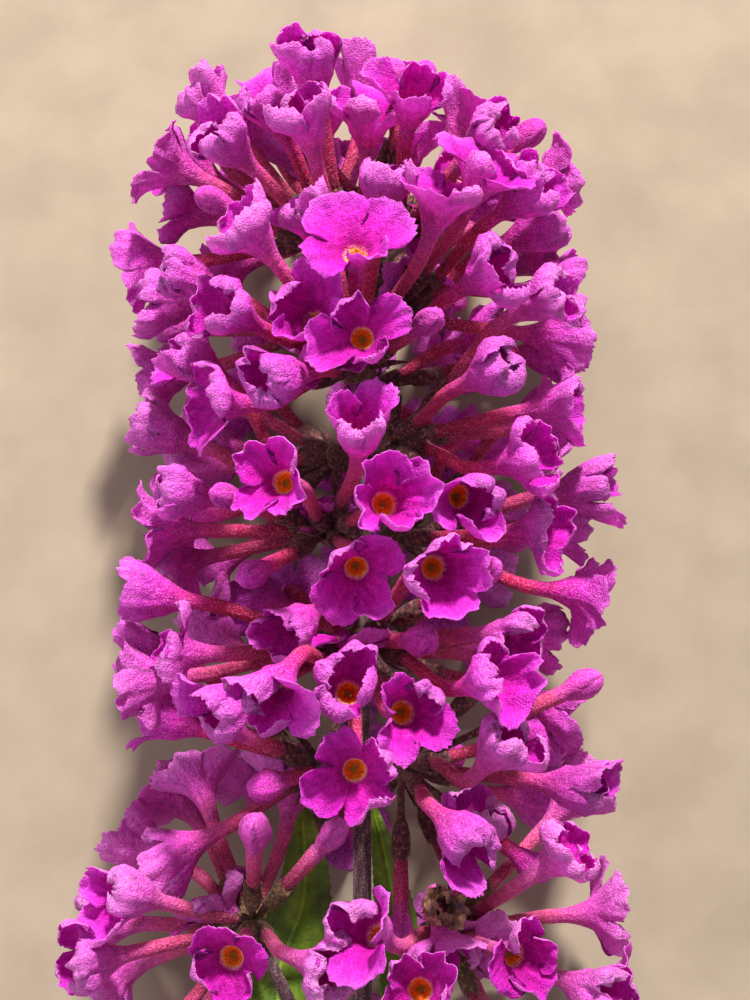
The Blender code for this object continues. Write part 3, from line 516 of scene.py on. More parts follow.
def knot_points(middle, draw):
    """Corners of the lumpy knot of a bunch."""
    rise = np.linspace(-0.98, 0.98, KNOT_ROWS)[knot_stack.ring]
    rise = np.where(knot_stack.hub, np.sign(rise), rise)
    flat = np.sqrt(np.maximum(1 - rise**2, 0.0))
    out = np.stack([flat * np.cos(knot_stack.angle), flat * np.sin(knot_stack.angle), rise], axis=1)
    lumps = np.zeros(len(rise))
    for _ in range(4):
        lumps += np.sin(out @ np.array(draw.choices(range(-4, 5), k=3)) + draw.uniform(0, 6))
    return np.array(middle) + out * (KNOT_RADIUS * (1 + KNOT_LUMPS * lumps))[:, None]


def bract_points(root, way, draw):
    """Corners of a bract: a small dry pointed scale that grows from a knot between the calyces."""
    length = draw.uniform(*BRACT_LENGTH)
    bend = np.array([draw.gauss(0, BRACT_SPREAD) for _ in range(3)]) * length * BRACT_BEND
    shares = np.linspace(0, 1, len(BRACT_PROFILE))[:, None]
    line = np.array(root) + unit(way) * (BRACT_START + length * shares) + bend * shares**2
    flat = unit(np.cross(way, [draw.gauss(0, 1) for _ in range(3)]))
    points = swept(bract_stack, line, np.array(BRACT_PROFILE)[bract_stack.ring], flat)
    middle = line[bract_stack.ring]
    return points - flat * ((points - middle) @ flat)[:, None] * (1 - FLATNESS)


def peduncle_points(name):
    """Corners of the short stalk between the stem and the knot of a bunch."""
    root = roots[name]
    start = Vector((0, min(root.y - BUNCH_RISE * BUNCH_OUT, STEM_TIP), AXIS_HEIGHT))
    line = smooth_run((start, start.lerp(root, 0.5) + Vector((0, 0.2, 0)), root), 6)
    return swept(peduncle_stack, line, np.full(len(peduncle_stack.ring), PEDUNCLE_RADIUS), (0.3, 0.9, 0.2))


def calyx_finish():
    """Felted green flesh flushed dark: brown-purple, matt, with pale hairs that catch the light."""
    pale = {"Sheen_Weight": 0.2, "Sheen_Roughness": 0.4, "Sheen_Tint": linear("#E6C9D6")}
    finish, tree, shader, place = new_finish("felted calyx", Roughness=0.85, **pale)
    patches = add_node(tree, "TexNoise", {"Vector": place, "Scale": 1 / (0.34 * MM), "Detail": 5.0})
    grains = add_node(tree, "TexNoise", {"Vector": place, "Scale": 1 / (0.17 * MM)})
    stops = ((0.34, "#1E0A12"), (0.48, "#46142A"), (0.59, "#662A3A"), (0.7, "#8E6656"))
    flushed = add_node(tree, "ValToRGB", {"Fac": patches}, stops)
    stops = ((0.3, "#4E3A26"), (0.5, "#7D7540"), (0.7, "#A7A266"))
    fresh = add_node(tree, "ValToRGB", {"Fac": patches}, stops)
    green = add_node(tree, "Attribute", out="Fac", attribute_name="green")
    blend = {"Factor": green, "A": flushed, "B": fresh}
    add_node(tree, "Mix", blend, data_type="RGBA", into=shader.inputs["Base Color"])
    relief = {"Height": grains, "Distance": 0.1 * MM, "Strength": 0.7}
    add_node(tree, "Bump", relief, into=shader.inputs["Normal"])
    return finish


felted_calyx = calyx_finish()
tufts, hair_points = [], []
for name, root in roots.items():
    draw = random.Random("calyx " + name)
    on_side = name.startswith("side")
    stacks, points = [knot_stack], [knot_points(root, draw)]
    green = [np.full(len(points[0]), GREEN_KNOT[on_side])]
    if not on_side:
        stacks.append(peduncle_stack)
        points.append(peduncle_points(name))
        green.append(np.zeros(len(points[-1])))
    for floret in florets[name]:
        stacks.append(calyx_stack)
        points.append(calyx_points(floret, draw))
        fading = np.clip(GREEN_AT_FOOT - calyx_stack.ring / len(STALK_PROFILE + CUP_PROFILE), 0, 1)
        green.append(GREEN_CALYX[on_side] * fading)
        end = calyx_end(floret)
        along = np.linspace(0, end, HAIR_PLACES)
        cup = min(CALYX_LENGTH, end * LONGEST_CUP)
        places = [share * cup + end - cup for share, _ in CUP_PROFILE]
        radii = np.interp(along, places, [radius for _, radius in CUP_PROFILE])
        line = floret.root + floret.tube * along[:, None]
        tufts.append(calyx_tuft)
        hair_points.append(hairs_on_line(calyx_tuft, line, radii, CALYX_HAIR_LENGTH, draw.randrange(10**6)))
    for _ in range(BRACTS[on_side]):
        way = draw.choice(florets[name]).tube + np.array([draw.gauss(0, BRACT_SPREAD) for _ in range(3)])
        stacks.append(bract_stack)
        points.append(bract_points(root, way, draw))
        fading = np.clip(1 - bract_stack.ring / GREEN_BRACT_ROWS, 0, 1)
        green.append(GREEN_CALYX[on_side] * fading)
    made = shaped_mesh("calyces_" + name, stacks, points, {"green": green})
    add_piece("calyces_" + name, made, felted_calyx, "calyx")
made = shaped_mesh("hairs_calyces", tufts, hair_points, {})
add_piece("hairs_calyces", made, hair_finish("calyx felt", "#9C7484"), "calyx")

# An open floret: a thin tube that widens like a trumpet and spreads in four broad, finely toothed
# lobes that overlap at their sides. The face is velvety magenta round an orange eye, the outside
# paler, puckered and felted, and the tube coral where the sun is on it.

TUBE_SIDES, LIMB_SIDES = 20, 88
COLUMNS = LIMB_SIDES // 4
TUBE_SHARES = np.linspace(0.0, 1.0, 7)
FLARE = (2.1, 1.6, 1.15, 0.7, 0.35)
UNDER = (0.0, 0.16, 0.34, 0.52, 0.7, 0.87, 1.0)
RIM = 1.01
UPPER = (1.0, 0.93, 0.82, 0.68, 0.52, 0.36, 0.2, 0.07)
THROAT = ((0.1, 0.96), (0.28, 0.84), (0.42, 0.5))
THROAT_BELL, BELL_STEP = 0.7, 0.3
FLARE_START, FLARE_CURVE, FLARE_EDGE = 2.5, 1.7, 0.25
TUBE_BASE, TUBE_TOP, TUBE_CURVE = 0.55, 0.68, 1.5
TUBE_BENDS = (0.4, 0.35)
TUBE_HAIRS = 46
TUBE_HAIR_LENGTH = (0.1, 0.24)
MOUTH, BELL = 0.86, 0.75
THICK_BASE, THICK_EDGE = 0.24, 0.1
SINK = 0.6
LOWEST = 0.02
SHORTEST_LIMB, FULL_LIMB, LONGER, SIDE_SHARE = 4.6, 5.05, 1.1, 0.8
CURVE_SHARE, MOUTH_SHARE = 1.04, 0.8
STEPS, FARTHEST = 40, 1.1

# The lobes differ from floret to floret, by draws in these ranges: how long, notched and toothed they
# are, how far they cup, roll, curl in and spoon, how much they overlap, and how they pucker.

LOBE_LENGTHS, NOTCHES = (0.88, 1.08), (0.14, 0.42)
ROUNDED, CORNERS_OFF = 0.06, 0.24
TOOTH, UNEVEN_TOOTH, RAGGED = 0.017, 0.016, 0.02
CUP_SHARE, MORE_CUP, UNEVEN_CUP, STEEPEST_CUP = 0.72, 0.2, 0.28, 1.3
MORE_CLOSED, OPEN_CUP = 0.1, 0.3
CLOSING, CLOSING_IN_FRONT = (0.0, 0.6), (0.65, 1.05)
LOBES_PART = (0.15, 0.7)
STEEP, STEEP_TO = math.radians(80), (0.04, 0.11)
BENT, BENT_FROM = (-0.5, 0.9), 0.3
ROLL_START, SOONER, ROLL_SKEW = (0.4, 0.68), 0.35, 0.7
ROLLED, CURLED, CURLED_CHANCE = (-1.3, 1.2), (1.9, 3.1), (0.3, 0.5)
WAVY, WAVE_SWINGS = 0.4, 5.0
SPOONED, LAP, FREE_AFTER = (-0.2, 1.6), 0.36, 0.35
PUCKERS = ((0.24, 8, 14, 1.5), (0.2, 12, 20, 4))
CRUMPLE, CRUMPLE_SWINGS = 0.13, (6.0, 10.0, 15.0)
FOLD_DEPTH, FOLD_WIDTH = 0.1, 0.1
PRESSED_SHARE = -0.2
OVERLAPS = (math.radians(-7), math.radians(14))
HALF_WIDTH, MOST_OVERLAP = 2.45, 0.5

# Twelve florets whose orange eye the photo shows are wide open. They are found by their place in the
# picture, so the camera is set here: it stands 150 mm off, leaned 12 degrees towards the stem's end.

VIEW_TARGET = Vector((1.1, 22.8, AXIS_HEIGHT + 18.2))
VIEW_DISTANCE = 150.0
VIEW_LEAN = math.radians(12)
SEEN_HEIGHT = 80.0
FRAME_WIDTH, FRAME_HEIGHT = 750, 1000
FACING = 0.3
EYES_SHOWN = ((351, 245), (362, 338), (360, 445), (281, 481), (381, 505), (356, 573))
EYES_SHOWN += ((424, 568), (413, 712), (360, 764), (230, 958), (517, 955), (422, 990))
view_back = Vector((0.0, -math.sin(VIEW_LEAN), math.cos(VIEW_LEAN)))
view_up = Vector((0.0, math.cos(VIEW_LEAN), math.sin(VIEW_LEAN)))


def pixel_of(point):
    """Where a point in millimetres is in the frame of the picture."""
    away = Vector(point) - VIEW_TARGET
    scale = FRAME_HEIGHT / SEEN_HEIGHT * VIEW_DISTANCE / (VIEW_DISTANCE - away.dot(view_back))
    return Vector((FRAME_WIDTH / 2 + away.x * scale, FRAME_HEIGHT / 2 - away.dot(view_up) * scale))


every_floret = [floret for name in roots for floret in florets[name]]
facing = [f for f in every_floret if not f.bud and f.normal @ np.array(view_back) > FACING]
for place in EYES_SHOWN:
    nearest = min(facing, key=lambda f: (pixel_of(f.face) - Vector(place)).length)
    nearest.wide_open = True

# The rings of an open floret, from the calyx on: up its tube and trumpet, out along the underside of
# its limb, round the rim, in along the face and down the throat. A limb has 88 columns of corners, 22
# for each lobe, and one of those is the web that joins two lobes.

rings = [("tube", share) for share in TUBE_SHARES] + [("flare", depth) for depth in FLARE]
rings += [("under", share) for share in UNDER] + [("rim", RIM)] + [("upper", share) for share in UPPER]
rings += [("throat", k) for k in range(len(THROAT))]
ring_kind = np.array([kind for kind, _ in rings])
ring_value = np.array([float(value) for _, value in rings])
narrow_rings = len(TUBE_SHARES) + len(FLARE)
open_stack = RingStack([TUBE_SIDES] * narrow_rings + [LIMB_SIDES] * (len(rings) - narrow_rings))
kind, value = ring_kind[open_stack.ring], ring_value[open_stack.ring]
on_limb = (kind == "under") | (kind == "rim") | (kind == "upper")
column = np.rint(open_stack.angle / (2 * math.pi) * LIMB_SIDES).astype(int) % LIMB_SIDES
column_place = (np.arange(LIMB_SIDES) + COLUMNS // 2) % COLUMNS - COLUMNS // 2
column_lobe = ((np.arange(LIMB_SIDES) + COLUMNS // 2) // COLUMNS) % 4
column_web = column_place == -(COLUMNS // 2)
column_share = np.minimum(np.abs(column_place) / (COLUMNS // 2 - 1), 1.0)
column_sign = np.where(column_web, 0.0, np.sign(column_place))
column_angle = np.arange(LIMB_SIDES) / LIMB_SIDES * 2 * math.pi
column_blend = np.maximum(np.cos(column_angle[:, None] - np.arange(4) * math.pi / 2), 0) ** 2


def waves(draw, lowest, highest):
    """A sum of seeded sine waves round a floret, a value for each column."""
    total = np.zeros(LIMB_SIDES)
    for count in range(lowest, highest + 1):
        total += np.sin(count * column_angle + draw.uniform(0, 2 * math.pi)) * draw.uniform(0.4, 1.0)
    return total / math.sqrt(highest - lowest + 1)


def smooth_step(value, low, high):
    """A smooth rise from 0 to 1 between two values."""
    share = np.clip((value - low) / (high - low), 0.0, 1.0)
    return share * share * (3 - 2 * share)


def four(draw, low, high):
    """A seeded value for each of the four lobes."""
    return np.array([draw.uniform(low, high) for _ in range(4)])


def tube_line(floret, start, end, shares):
    """Points of a tube's middle: out of the calyx, then bent to run straight into the mouth."""
    gap = np.linalg.norm(end - start)
    knee_one = start + floret.tube * gap * TUBE_BENDS[0]
    knee_two = end - floret.normal * gap * TUBE_BENDS[1]
    t = np.asarray(shares)[:, None]
    return (1 - t) ** 3 * start + 3 * (1 - t) ** 2 * t * knee_one + 3 * (1 - t) * t**2 * knee_two + t**3 * end


def limb_span(floret, mouth, pressed):
    """How far the lobes of a floret run from its mouth to their ends."""
    full = floret.limb
    if not pressed:
        full = min(max(full, SHORTEST_LIMB), FULL_LIMB) + LONGER * math.sin(floret.cup)
        full *= SIDE_SHARE if floret.wide_open and floret.bunch.startswith("side") else 1.0
    return full * CURVE_SHARE - mouth * MOUTH_SHARE


def how_closed(floret, draw):
    """How far a floret is closed: 0 for wide open, and most for the other ones that face up."""
    if floret.wide_open:
        return 0.0
    closing = draw.uniform(*CLOSING)
    if floret.normal @ np.array(view_back) > FACING:
        closing = draw.uniform(*CLOSING_IN_FRONT)
    return closing


def limb_outline(draw):
    """How far each column of a limb reaches, and each notch: rounded lobes with small uneven teeth."""
    lengths, notches = four(draw, *LOBE_LENGTHS), four(draw, *NOTCHES)
    teeth = np.array([draw.gauss(TOOTH * (-1) ** k, UNEVEN_TOOTH) for k in range(LIMB_SIDES)])
    reach = lengths[column_lobe] * (1 - ROUNDED * column_share**2 - CORNERS_OFF * column_share**5)
    reach = reach + teeth + RAGGED * waves(draw, 9, 15)
    return np.where(column_web, notches[column_lobe], reach), notches


def lobe_rolls(draw, closing):
    """How far each lobe's end rolls: most only bend, and some curl right in over the eye."""
    chance = CURLED_CHANCE[0] + CURLED_CHANCE[1] * closing
    return np.array([draw.uniform(*(CURLED if draw.random() < chance else ROLLED)) for _ in range(4)])


def lobe_slopes(floret, draw, closing):
    """How steeply each column of a limb rises at each step from the mouth to the edge."""
    t = np.linspace(0, FARTHEST, STEPS + 1)[:, None]
    cups = np.array([draw.gauss(CUP_SHARE * floret.cup + MORE_CUP, UNEVEN_CUP) for _ in range(4)])
    cups = np.minimum(cups + MORE_CLOSED * closing + OPEN_CUP * floret.wide_open, STEEPEST_CUP)
    own = smooth_step(t, *LOBES_PART) * ~column_web
    slope = (column_blend @ cups)[None, :] * (1 - own) + cups[column_lobe] * own
    steep = STEEP_TO[0] + STEEP_TO[1] * math.sin(max(floret.cup, 0.0))
    slope = slope + (STEEP - slope) * np.exp(-t / steep)
    slope = slope + draw.uniform(*BENT) * (t - BENT_FROM)
    starts = four(draw, *ROLL_START) * (1 - SOONER * closing)
    rolls, skews = lobe_rolls(draw, closing), four(draw, -ROLL_SKEW, ROLL_SKEW)
    roll = rolls[column_lobe] * (1 + skews[column_lobe] * column_sign * column_share)
    roll = roll * smooth_step(t, starts[column_lobe], FARTHEST)
    wave = WAVY * waves(draw, 2, 5) * np.sin(WAVE_SWINGS * t + draw.uniform(0, 6)) * t
    return slope + roll * ~column_web + wave


def limb_lift(draw, t, freed):
    """How far each corner of a limb stands off its slope: spooned, lapped, puckered and folded."""
    share, sign, lobe = column_share[column], column_sign[column], column_lobe[column]
    spoons = four(draw, *SPOONED)[lobe]
    over = four(draw, -1, 1) > 0
    above = np.where(sign > 0, np.where(over[lobe], 1, -1), np.where(over[lobe - 1], -1, 1))
    lift = spoons * share**2 * t + above * np.abs(sign) * LAP * share**3 * freed
    lift += sum(size * waves(draw, low, high)[column] * t**rise for size, low, high, rise in PUCKERS)
    for swings in CRUMPLE_SWINGS:
        lift += CRUMPLE * waves(draw, 4, 12)[column] * np.sin(swings * t + draw.uniform(0, 6)) * t
    v = np.where(on_limb, value, 0.0)
    return lift - FOLD_DEPTH * np.exp(-((share / FOLD_WIDTH) ** 2)) * np.clip(v * 4, 0, 1) * (1 - v)


def trumpet_and_throat(radius, height, mouth, bell):
    """The limb's radius and height for each corner, with those of the rings under and inside its mouth."""
    widen = np.clip(1 - value / FLARE_START, 0, 1) ** FLARE_CURVE
    radius = np.where(kind == "flare", TUBE_TOP + (mouth + FLARE_EDGE - TUBE_TOP) * widen, radius)
    height = np.where(kind == "flare", -value, height)
    for k, (depth, width) in enumerate(THROAT):
        here = (kind == "throat") & (value == k)
        radius = np.where(here, width * MOUTH + bell * (THROAT_BELL - BELL_STEP * k), radius)
        height = np.where(here, -depth * (1 + 2 * bell), height)
    return np.where(open_stack.hub, 0.0, radius), height


def with_tube(floret, points):
    """The corners of a floret, with those of its tube drawn from the calyx to the trumpet."""
    start = floret.root + floret.tube * (calyx_end(floret) - SINK)
    straight = min(FLARE_START, 0.5 * np.linalg.norm(floret.face - start))
    line = tube_line(floret, start, floret.face - floret.normal * straight, TUBE_SHARES)
    floret.tube_line = line
    tubes = len(TUBE_SHARES)
    widths = TUBE_BASE + (TUBE_TOP - TUBE_BASE) * TUBE_SHARES**TUBE_CURVE
    widths = np.append(widths, np.zeros(len(rings) - tubes))
    line = np.concatenate([line, line[-1] + floret.normal * np.arange(1, len(rings) - tubes + 1)[:, None]])
    drawn = swept(open_stack, line, widths[open_stack.ring], floret.side)
    return np.where((kind == "tube")[:, None], drawn, points)


# How far along the outside's colours the tube, the trumpet and the limb lie, how many millimetres the
# face's colours span, and how far apart the lobes' streaks are set so that no two look alike.

TUBE_SHADES, FLARE_SHADES, LIMB_SHADE = 0.45, 0.15, 0.6
EYE_SCALE, GRAIN_APART = 6.0, 7.0


def corolla_points(floret, draw):
    """Corners of an open floret, and how far along, across and on which side of it each one is."""
    pressed = floret.face[2] < LOWEST
    normal, side = floret.normal, floret.side
    bell = BELL * max(math.sin(floret.cup), 0.0)
    mouth = MOUTH + bell
    span = limb_span(floret, mouth, pressed)
    closing = how_closed(floret, draw)
    reach, notches = limb_outline(draw)
    v = np.where(on_limb, value, 0.0)
    t = v * (1 + (reach[column] - 1) * v)

    slopes = np.zeros((STEPS + 1, LIMB_SIDES)) if pressed else lobe_slopes(floret, draw, closing)
    step = span * FARTHEST / STEPS
    outs, rises = (
        np.concatenate([np.zeros((1, LIMB_SIDES)), np.cumsum(part_of(slopes[:-1]) * step, axis=0)])
        for part_of in (np.cos, np.sin)
    )
    at = np.clip(t / FARTHEST * STEPS, 0, STEPS - 1e-6)
    low = at.astype(int)
    part = at - low
    out = mouth + outs[low, column] * (1 - part) + outs[low + 1, column] * part
    rise = rises[low, column] * (1 - part) + rises[low + 1, column] * part
    slope = slopes[low, column]

    share, sign, lobe = column_share[column], column_sign[column], column_lobe[column]
    notch = np.where(sign > 0, notches[(lobe + 1) % 4], notches[lobe])
    freed = smooth_step(t, notch, notch + FREE_AFTER)
    lift = limb_lift(draw, t, freed)
    if pressed:
        lift = np.abs(lift) * PRESSED_SHARE
    thick = THICK_BASE + (THICK_EDGE - THICK_BASE) * np.sqrt(v)
    below = np.where(kind == "under", thick, np.where(kind == "rim", thick / 2, 0.0))
    radius = np.where(on_limb, out - np.sin(slope) * (lift - below), 0.0)
    height = np.where(on_limb, rise + np.cos(slope) * (lift - below), 0.0)
    radius, height = trumpet_and_throat(radius, height, mouth, bell)
    overlaps = four(draw, *OVERLAPS) * (not pressed)
    overlap = np.where(sign > 0, overlaps[lobe], overlaps[lobe - 1])
    overlap += np.clip(HALF_WIDTH / np.maximum(out, 1.0) - math.pi / 4, 0, MOST_OVERLAP) * (not pressed)
    shift = sign * share * overlap * freed
    turned = np.where(on_limb, column_angle[column] + shift, open_stack.angle)
    radial = np.cos(turned)[:, None] * side + np.sin(turned)[:, None] * np.cross(normal, side)
    points = floret.face + radial * radius[:, None] + normal * height[:, None]
    points = with_tube(floret, points)
    points[:, 2] = np.maximum(points[:, 2], LOWEST)

    upper = np.where((kind == "upper") | (kind == "throat"), 1.0, np.where(kind == "rim", 0.5, 0.0))
    flare = LIMB_SHADE - FLARE_SHADES * value / FLARE[0]
    outside = np.where(kind == "flare", flare, LIMB_SHADE + (1 - LIMB_SHADE) * t)
    outside = np.where(kind == "tube", value * TUBE_SHADES, outside)
    inside = np.where(kind == "throat", radius, mouth + t * span) / EYE_SCALE
    along = np.where(upper > 0.6, inside, outside)
    across = (column_place[column] / COLUMNS * math.pi / 2 + shift) * out + GRAIN_APART * lobe
    grain = np.stack([across, t * span, np.full(len(t), draw.uniform(0, 50))], axis=1)
    return points, along, upper, grain


# A petal's colours and where each stands: on the face from the orange eye out to the edge, and on the
# outside from the calyx up the tube to the edge, deep for one that grew in shade and paler in sun.

FACE_COLOURS = (
    (0.02, "#86701A"),
    (0.05, "#BE5A0C"),
    (0.08, "#EE6406"),
    (0.128, "#FA740A"),
    (0.142, "#FFBE78"),
    (0.158, "#EC84B8"),
    (0.185, "#B40296"),
    (0.32, "#BC04A0"),
    (0.58, "#CA0EB4"),
    (0.82, "#D030CA"),
    (1.0, "#E25ADE"),
)
DEEP_COLOURS = (
    (0.0, "#6A0A2C"),
    (0.12, "#9E0C40"),
    (0.36, "#C41A5C"),
    (0.44, "#C81288"),
    (0.55, "#C814AC"),
    (0.76, "#D22EC8"),
    (1.0, "#E45EE2"),
)
PALER_COLOURS = (
    (0.0, "#7C5444"),
    (0.1, "#A83E60"),
    (0.36, "#CE5690"),
    (0.46, "#CC58AC"),
    (0.58, "#CE4CBC"),
    (0.78, "#DC60D0"),
    (1.0, "#EC80E2"),
)


def corolla_finish():
    """A fresh petal: velvety magenta cells on the face, paler felt outside, coral tube, orange throat,
    painted glints.
    """
    finish, tree, shader, place = new_finish(
        "fresh velvety petal",
        Roughness=0.62,
        Specular_IOR_Level=0.22,
        Sheen_Weight=0.03,
        Sheen_Roughness=0.4,
        Sheen_Tint=linear("#FFA8F2"),
        Subsurface_Weight=0.5,
        Subsurface_Scale=1.0,
        Subsurface_Radius=(0.8 * MM, 0.2 * MM, 0.6 * MM),
    )
    names = ("along", "upper", "tone", "blush")
    along, upper, tone, blush = (add_node(tree, "Attribute", out="Fac", attribute_name=key) for key in names)
    grain = add_node(tree, "Attribute", out="Vector", attribute_name="grain")
    wander, fine, dust, blotches, wrinkles = (
        add_node(tree, "TexNoise", {"Vector": place, "Scale": 1 / (size * MM), "Detail": detail})
        for size, detail in ((0.9, 3.0), (0.2, 1.0), (0.14, 1.0), (0.7, 3.0), (0.4, 3.0))
    )
    flecks = add_node(tree, "Math", {0: fine, 1: 0.07, 2: -0.035}, operation="MULTIPLY_ADD")
    eyed = add_node(tree, "Math", {0: along, 1: flecks}, operation="ADD")
    face = add_node(tree, "ValToRGB", {"Fac": eyed}, FACE_COLOURS)
    shift = add_node(tree, "Math", {0: wander, 1: 0.16, 2: -0.08}, operation="MULTIPLY_ADD")
    moved = add_node(tree, "Math", {0: along, 1: shift}, operation="ADD")
    deep = add_node(tree, "ValToRGB", {"Fac": moved}, DEEP_COLOURS)
    paler = add_node(tree, "ValToRGB", {"Fac": moved}, PALER_COLOURS)
    outer = add_node(tree, "Mix", {"Factor": blush, "A": deep, "B": paler}, data_type="RGBA")
    fuzz = add_node(tree, "MapRange", {"Value": dust, "From Min": 0.52, "From Max": 0.66, "To Max": 0.5})
    fuzzed = add_node(tree, "Mix", {"Factor": fuzz, "A": outer, "B": linear("#F08AC8")}, data_type="RGBA")
    both = add_node(tree, "Mix", {"Factor": upper, "A": fuzzed, "B": face}, data_type="RGBA")

    # Faint streaks, 0.4 mm across and 2.2 mm long, run out along each lobe. The petal's cells are about
    # 0.04 mm across, too fine to show, so they are drawn 0.16 mm across, as bumps and as painted glints: a
    # pale pink painted highlight at the middle of each cell.
    veins = add_node(tree, "Mapping", {"Vector": grain, "Scale": (2.6, 0.45, 1.0)})
    veining = add_node(tree, "TexNoise", {"Vector": veins, "Scale": 1.0, "Detail": 2.0})
    mixed = add_node(tree, "Math", {0: veining, 1: blotches}, operation="ADD")
    cells = add_node(tree, "TexVoronoi", {"Vector": place, "Scale": 1 / (0.16 * MM)})
    pebbles = add_node(tree, "MapRange", {"Value": cells, "From Max": 0.6, "To Min": 1.0, "To Max": 0.0})
    glint_mask = add_node(tree, "Math", {0: pebbles, 1: mixed}, operation="MULTIPLY")
    # Painted highlight: a pale pink glint at the middle of each cell, strongest where the streaks are.
    painted_glints = add_node(tree, "MapRange", {"Value": glint_mask, "From Min": 0.48, "From Max": 1.0, "To Max": 0.5})
    past_eye = add_node(tree, "Math", {0: along, 1: 0.3}, operation="GREATER_THAN")
    glints_past_eye = add_node(tree, "Math", {0: painted_glints, 1: past_eye}, operation="MULTIPLY")
    # The painted glints are mixed into the petal's colour as pale pink past the eye, in light and shade
    # alike.
    pale = add_node(tree, "Mix", {"Factor": glints_past_eye, "A": both, "B": linear("#F690F2")}, data_type="RGBA")
    spread = {"Value": mixed, "From Min": 0.7, "From Max": 1.3, "To Min": 0.76, "To Max": 1.3}
    # The tone is each floret's own brightness, and on a bud it also carries the painted seam shade.
    toned_and_seam_shaded = add_node(tree, "Math", {0: tone, 1: add_node(tree, "MapRange", spread)}, operation="MULTIPLY")
    add_node(tree, "HueSaturation", {"Value": toned_and_seam_shaded, "Color": pale}, into=shader.inputs["Base Color"])
    height = add_node(tree, "Math", {0: pebbles, 1: 0.42, 2: wrinkles}, operation="MULTIPLY_ADD")
    relief = {"Height": height, "Distance": 0.34 * MM, "Strength": 0.95}
    add_node(tree, "Bump", relief, into=shader.inputs["Normal"])
    return finish


petal = corolla_finish()

# A closed bud: a floret that hasn't opened yet, a narrow felted tube with an oval head. Its four lobes
# are folded over each other edge on edge, so four fine seam lines wind up the head, each darkened with
# painted shade.

BUD_TUBE_SIDES, BUD_HEAD_SIDES = 16, 32
BUD_TUBE = np.linspace(0.0, 1.0, 6)
BUD_BASE, BUD_NECK = 0.58, 0.74
HEAD_LENGTH, WIDEST_FROM_TIP, HEAD_RADIUS = 4.0, 1.75, 1.3
HEAD_SHARES = (0.05, 0.14, 0.25, 0.37, 0.5, 0.63, 0.75, 0.86, 0.94, 0.985)
SWELLS, ROUNDS_OFF = 1.5, 1.9
PLUMPNESS = (0.82, 1.06)
OVERLAP, SEAM_TWIST = 0.26, 0.05
SEAM_WIDTH, SEAM_SHADE = 0.09, 0.4
HEAD_SHADE, HEAD_SHADES = 0.46, 0.32

bud_stack = RingStack([BUD_TUBE_SIDES] * len(BUD_TUBE) + [BUD_HEAD_SIDES] * len(HEAD_SHARES))


def bud_points(floret, draw):
    """Corners of a closed bud, and how far along it each one is."""
    stack = bud_stack
    start = floret.root + floret.tube * (calyx_end(floret) - SINK)
    neck = floret.face - floret.normal * HEAD_LENGTH
    shares = np.array(HEAD_SHARES)
    line = tube_line(floret, start, neck, BUD_TUBE)
    floret.tube_line = line
    line = np.concatenate([line, floret.face - floret.normal * (HEAD_LENGTH * (1 - shares))[:, None]])
    narrow = np.linspace(BUD_BASE, BUD_NECK, len(BUD_TUBE))
    widest = 1 - WIDEST_FROM_TIP / HEAD_LENGTH
    swell = np.sin(np.clip(shares / widest, 0, 1) * math.pi / 2) ** SWELLS
    low = BUD_NECK + (HEAD_RADIUS - BUD_NECK) * swell
    past_widest = np.maximum(shares - widest, 0) / (1 - widest)
    high = HEAD_RADIUS * np.sqrt(np.maximum(1 - past_widest**ROUNDS_OFF, 0))
    plump = draw.uniform(*PLUMPNESS)
    radii = np.concatenate([narrow, np.where(shares < widest, low, high) * plump])[stack.ring]
    turn = (stack.angle * 2 / math.pi + draw.uniform(0, 1) + stack.ring * SEAM_TWIST) % 1
    head = np.clip((stack.ring - len(BUD_TUBE)) / 4, 0, 1)
    radii = radii * (1 + OVERLAP * (turn - 0.5) * head)
    points = swept(stack, line, radii, floret.side)
    points = np.where(stack.hub[:, None] & (stack.level > stack.last)[:, None], floret.face, points)
    points[:, 2] = np.maximum(points[:, 2], LOWEST)
    along = np.concatenate([BUD_TUBE * TUBE_SHADES, HEAD_SHADE + HEAD_SHADES * shares])[stack.ring]
    count = len(along)
    grain = np.stack([stack.angle, along, np.full(count, draw.uniform(0, 50))], axis=1)
    # Painted shade: the head is darker along each seam line, where one lobe's edge lies over the next.
    floret.seams = 1 - SEAM_SHADE * np.exp(-((turn / SEAM_WIDTH) ** 2)) * head
    return points, along, np.zeros(count), grain


# The petals of each bunch, and the short hairs on their tubes. Each floret is a little brighter or
# duller and more or less blushed than the next, the side heads most of all. One floret in the right
# head, found by its place in the picture, has withered and is left for the next section.

WITHERED_SPOT = (438, 908)
TONES = (0.88, 1.1)
LEAST_BLUSH, MOST_BLUSH = {False: 0.0, True: 0.65}, {False: 0.6, True: 1.0}
BLUSH_CURVE = 1.5

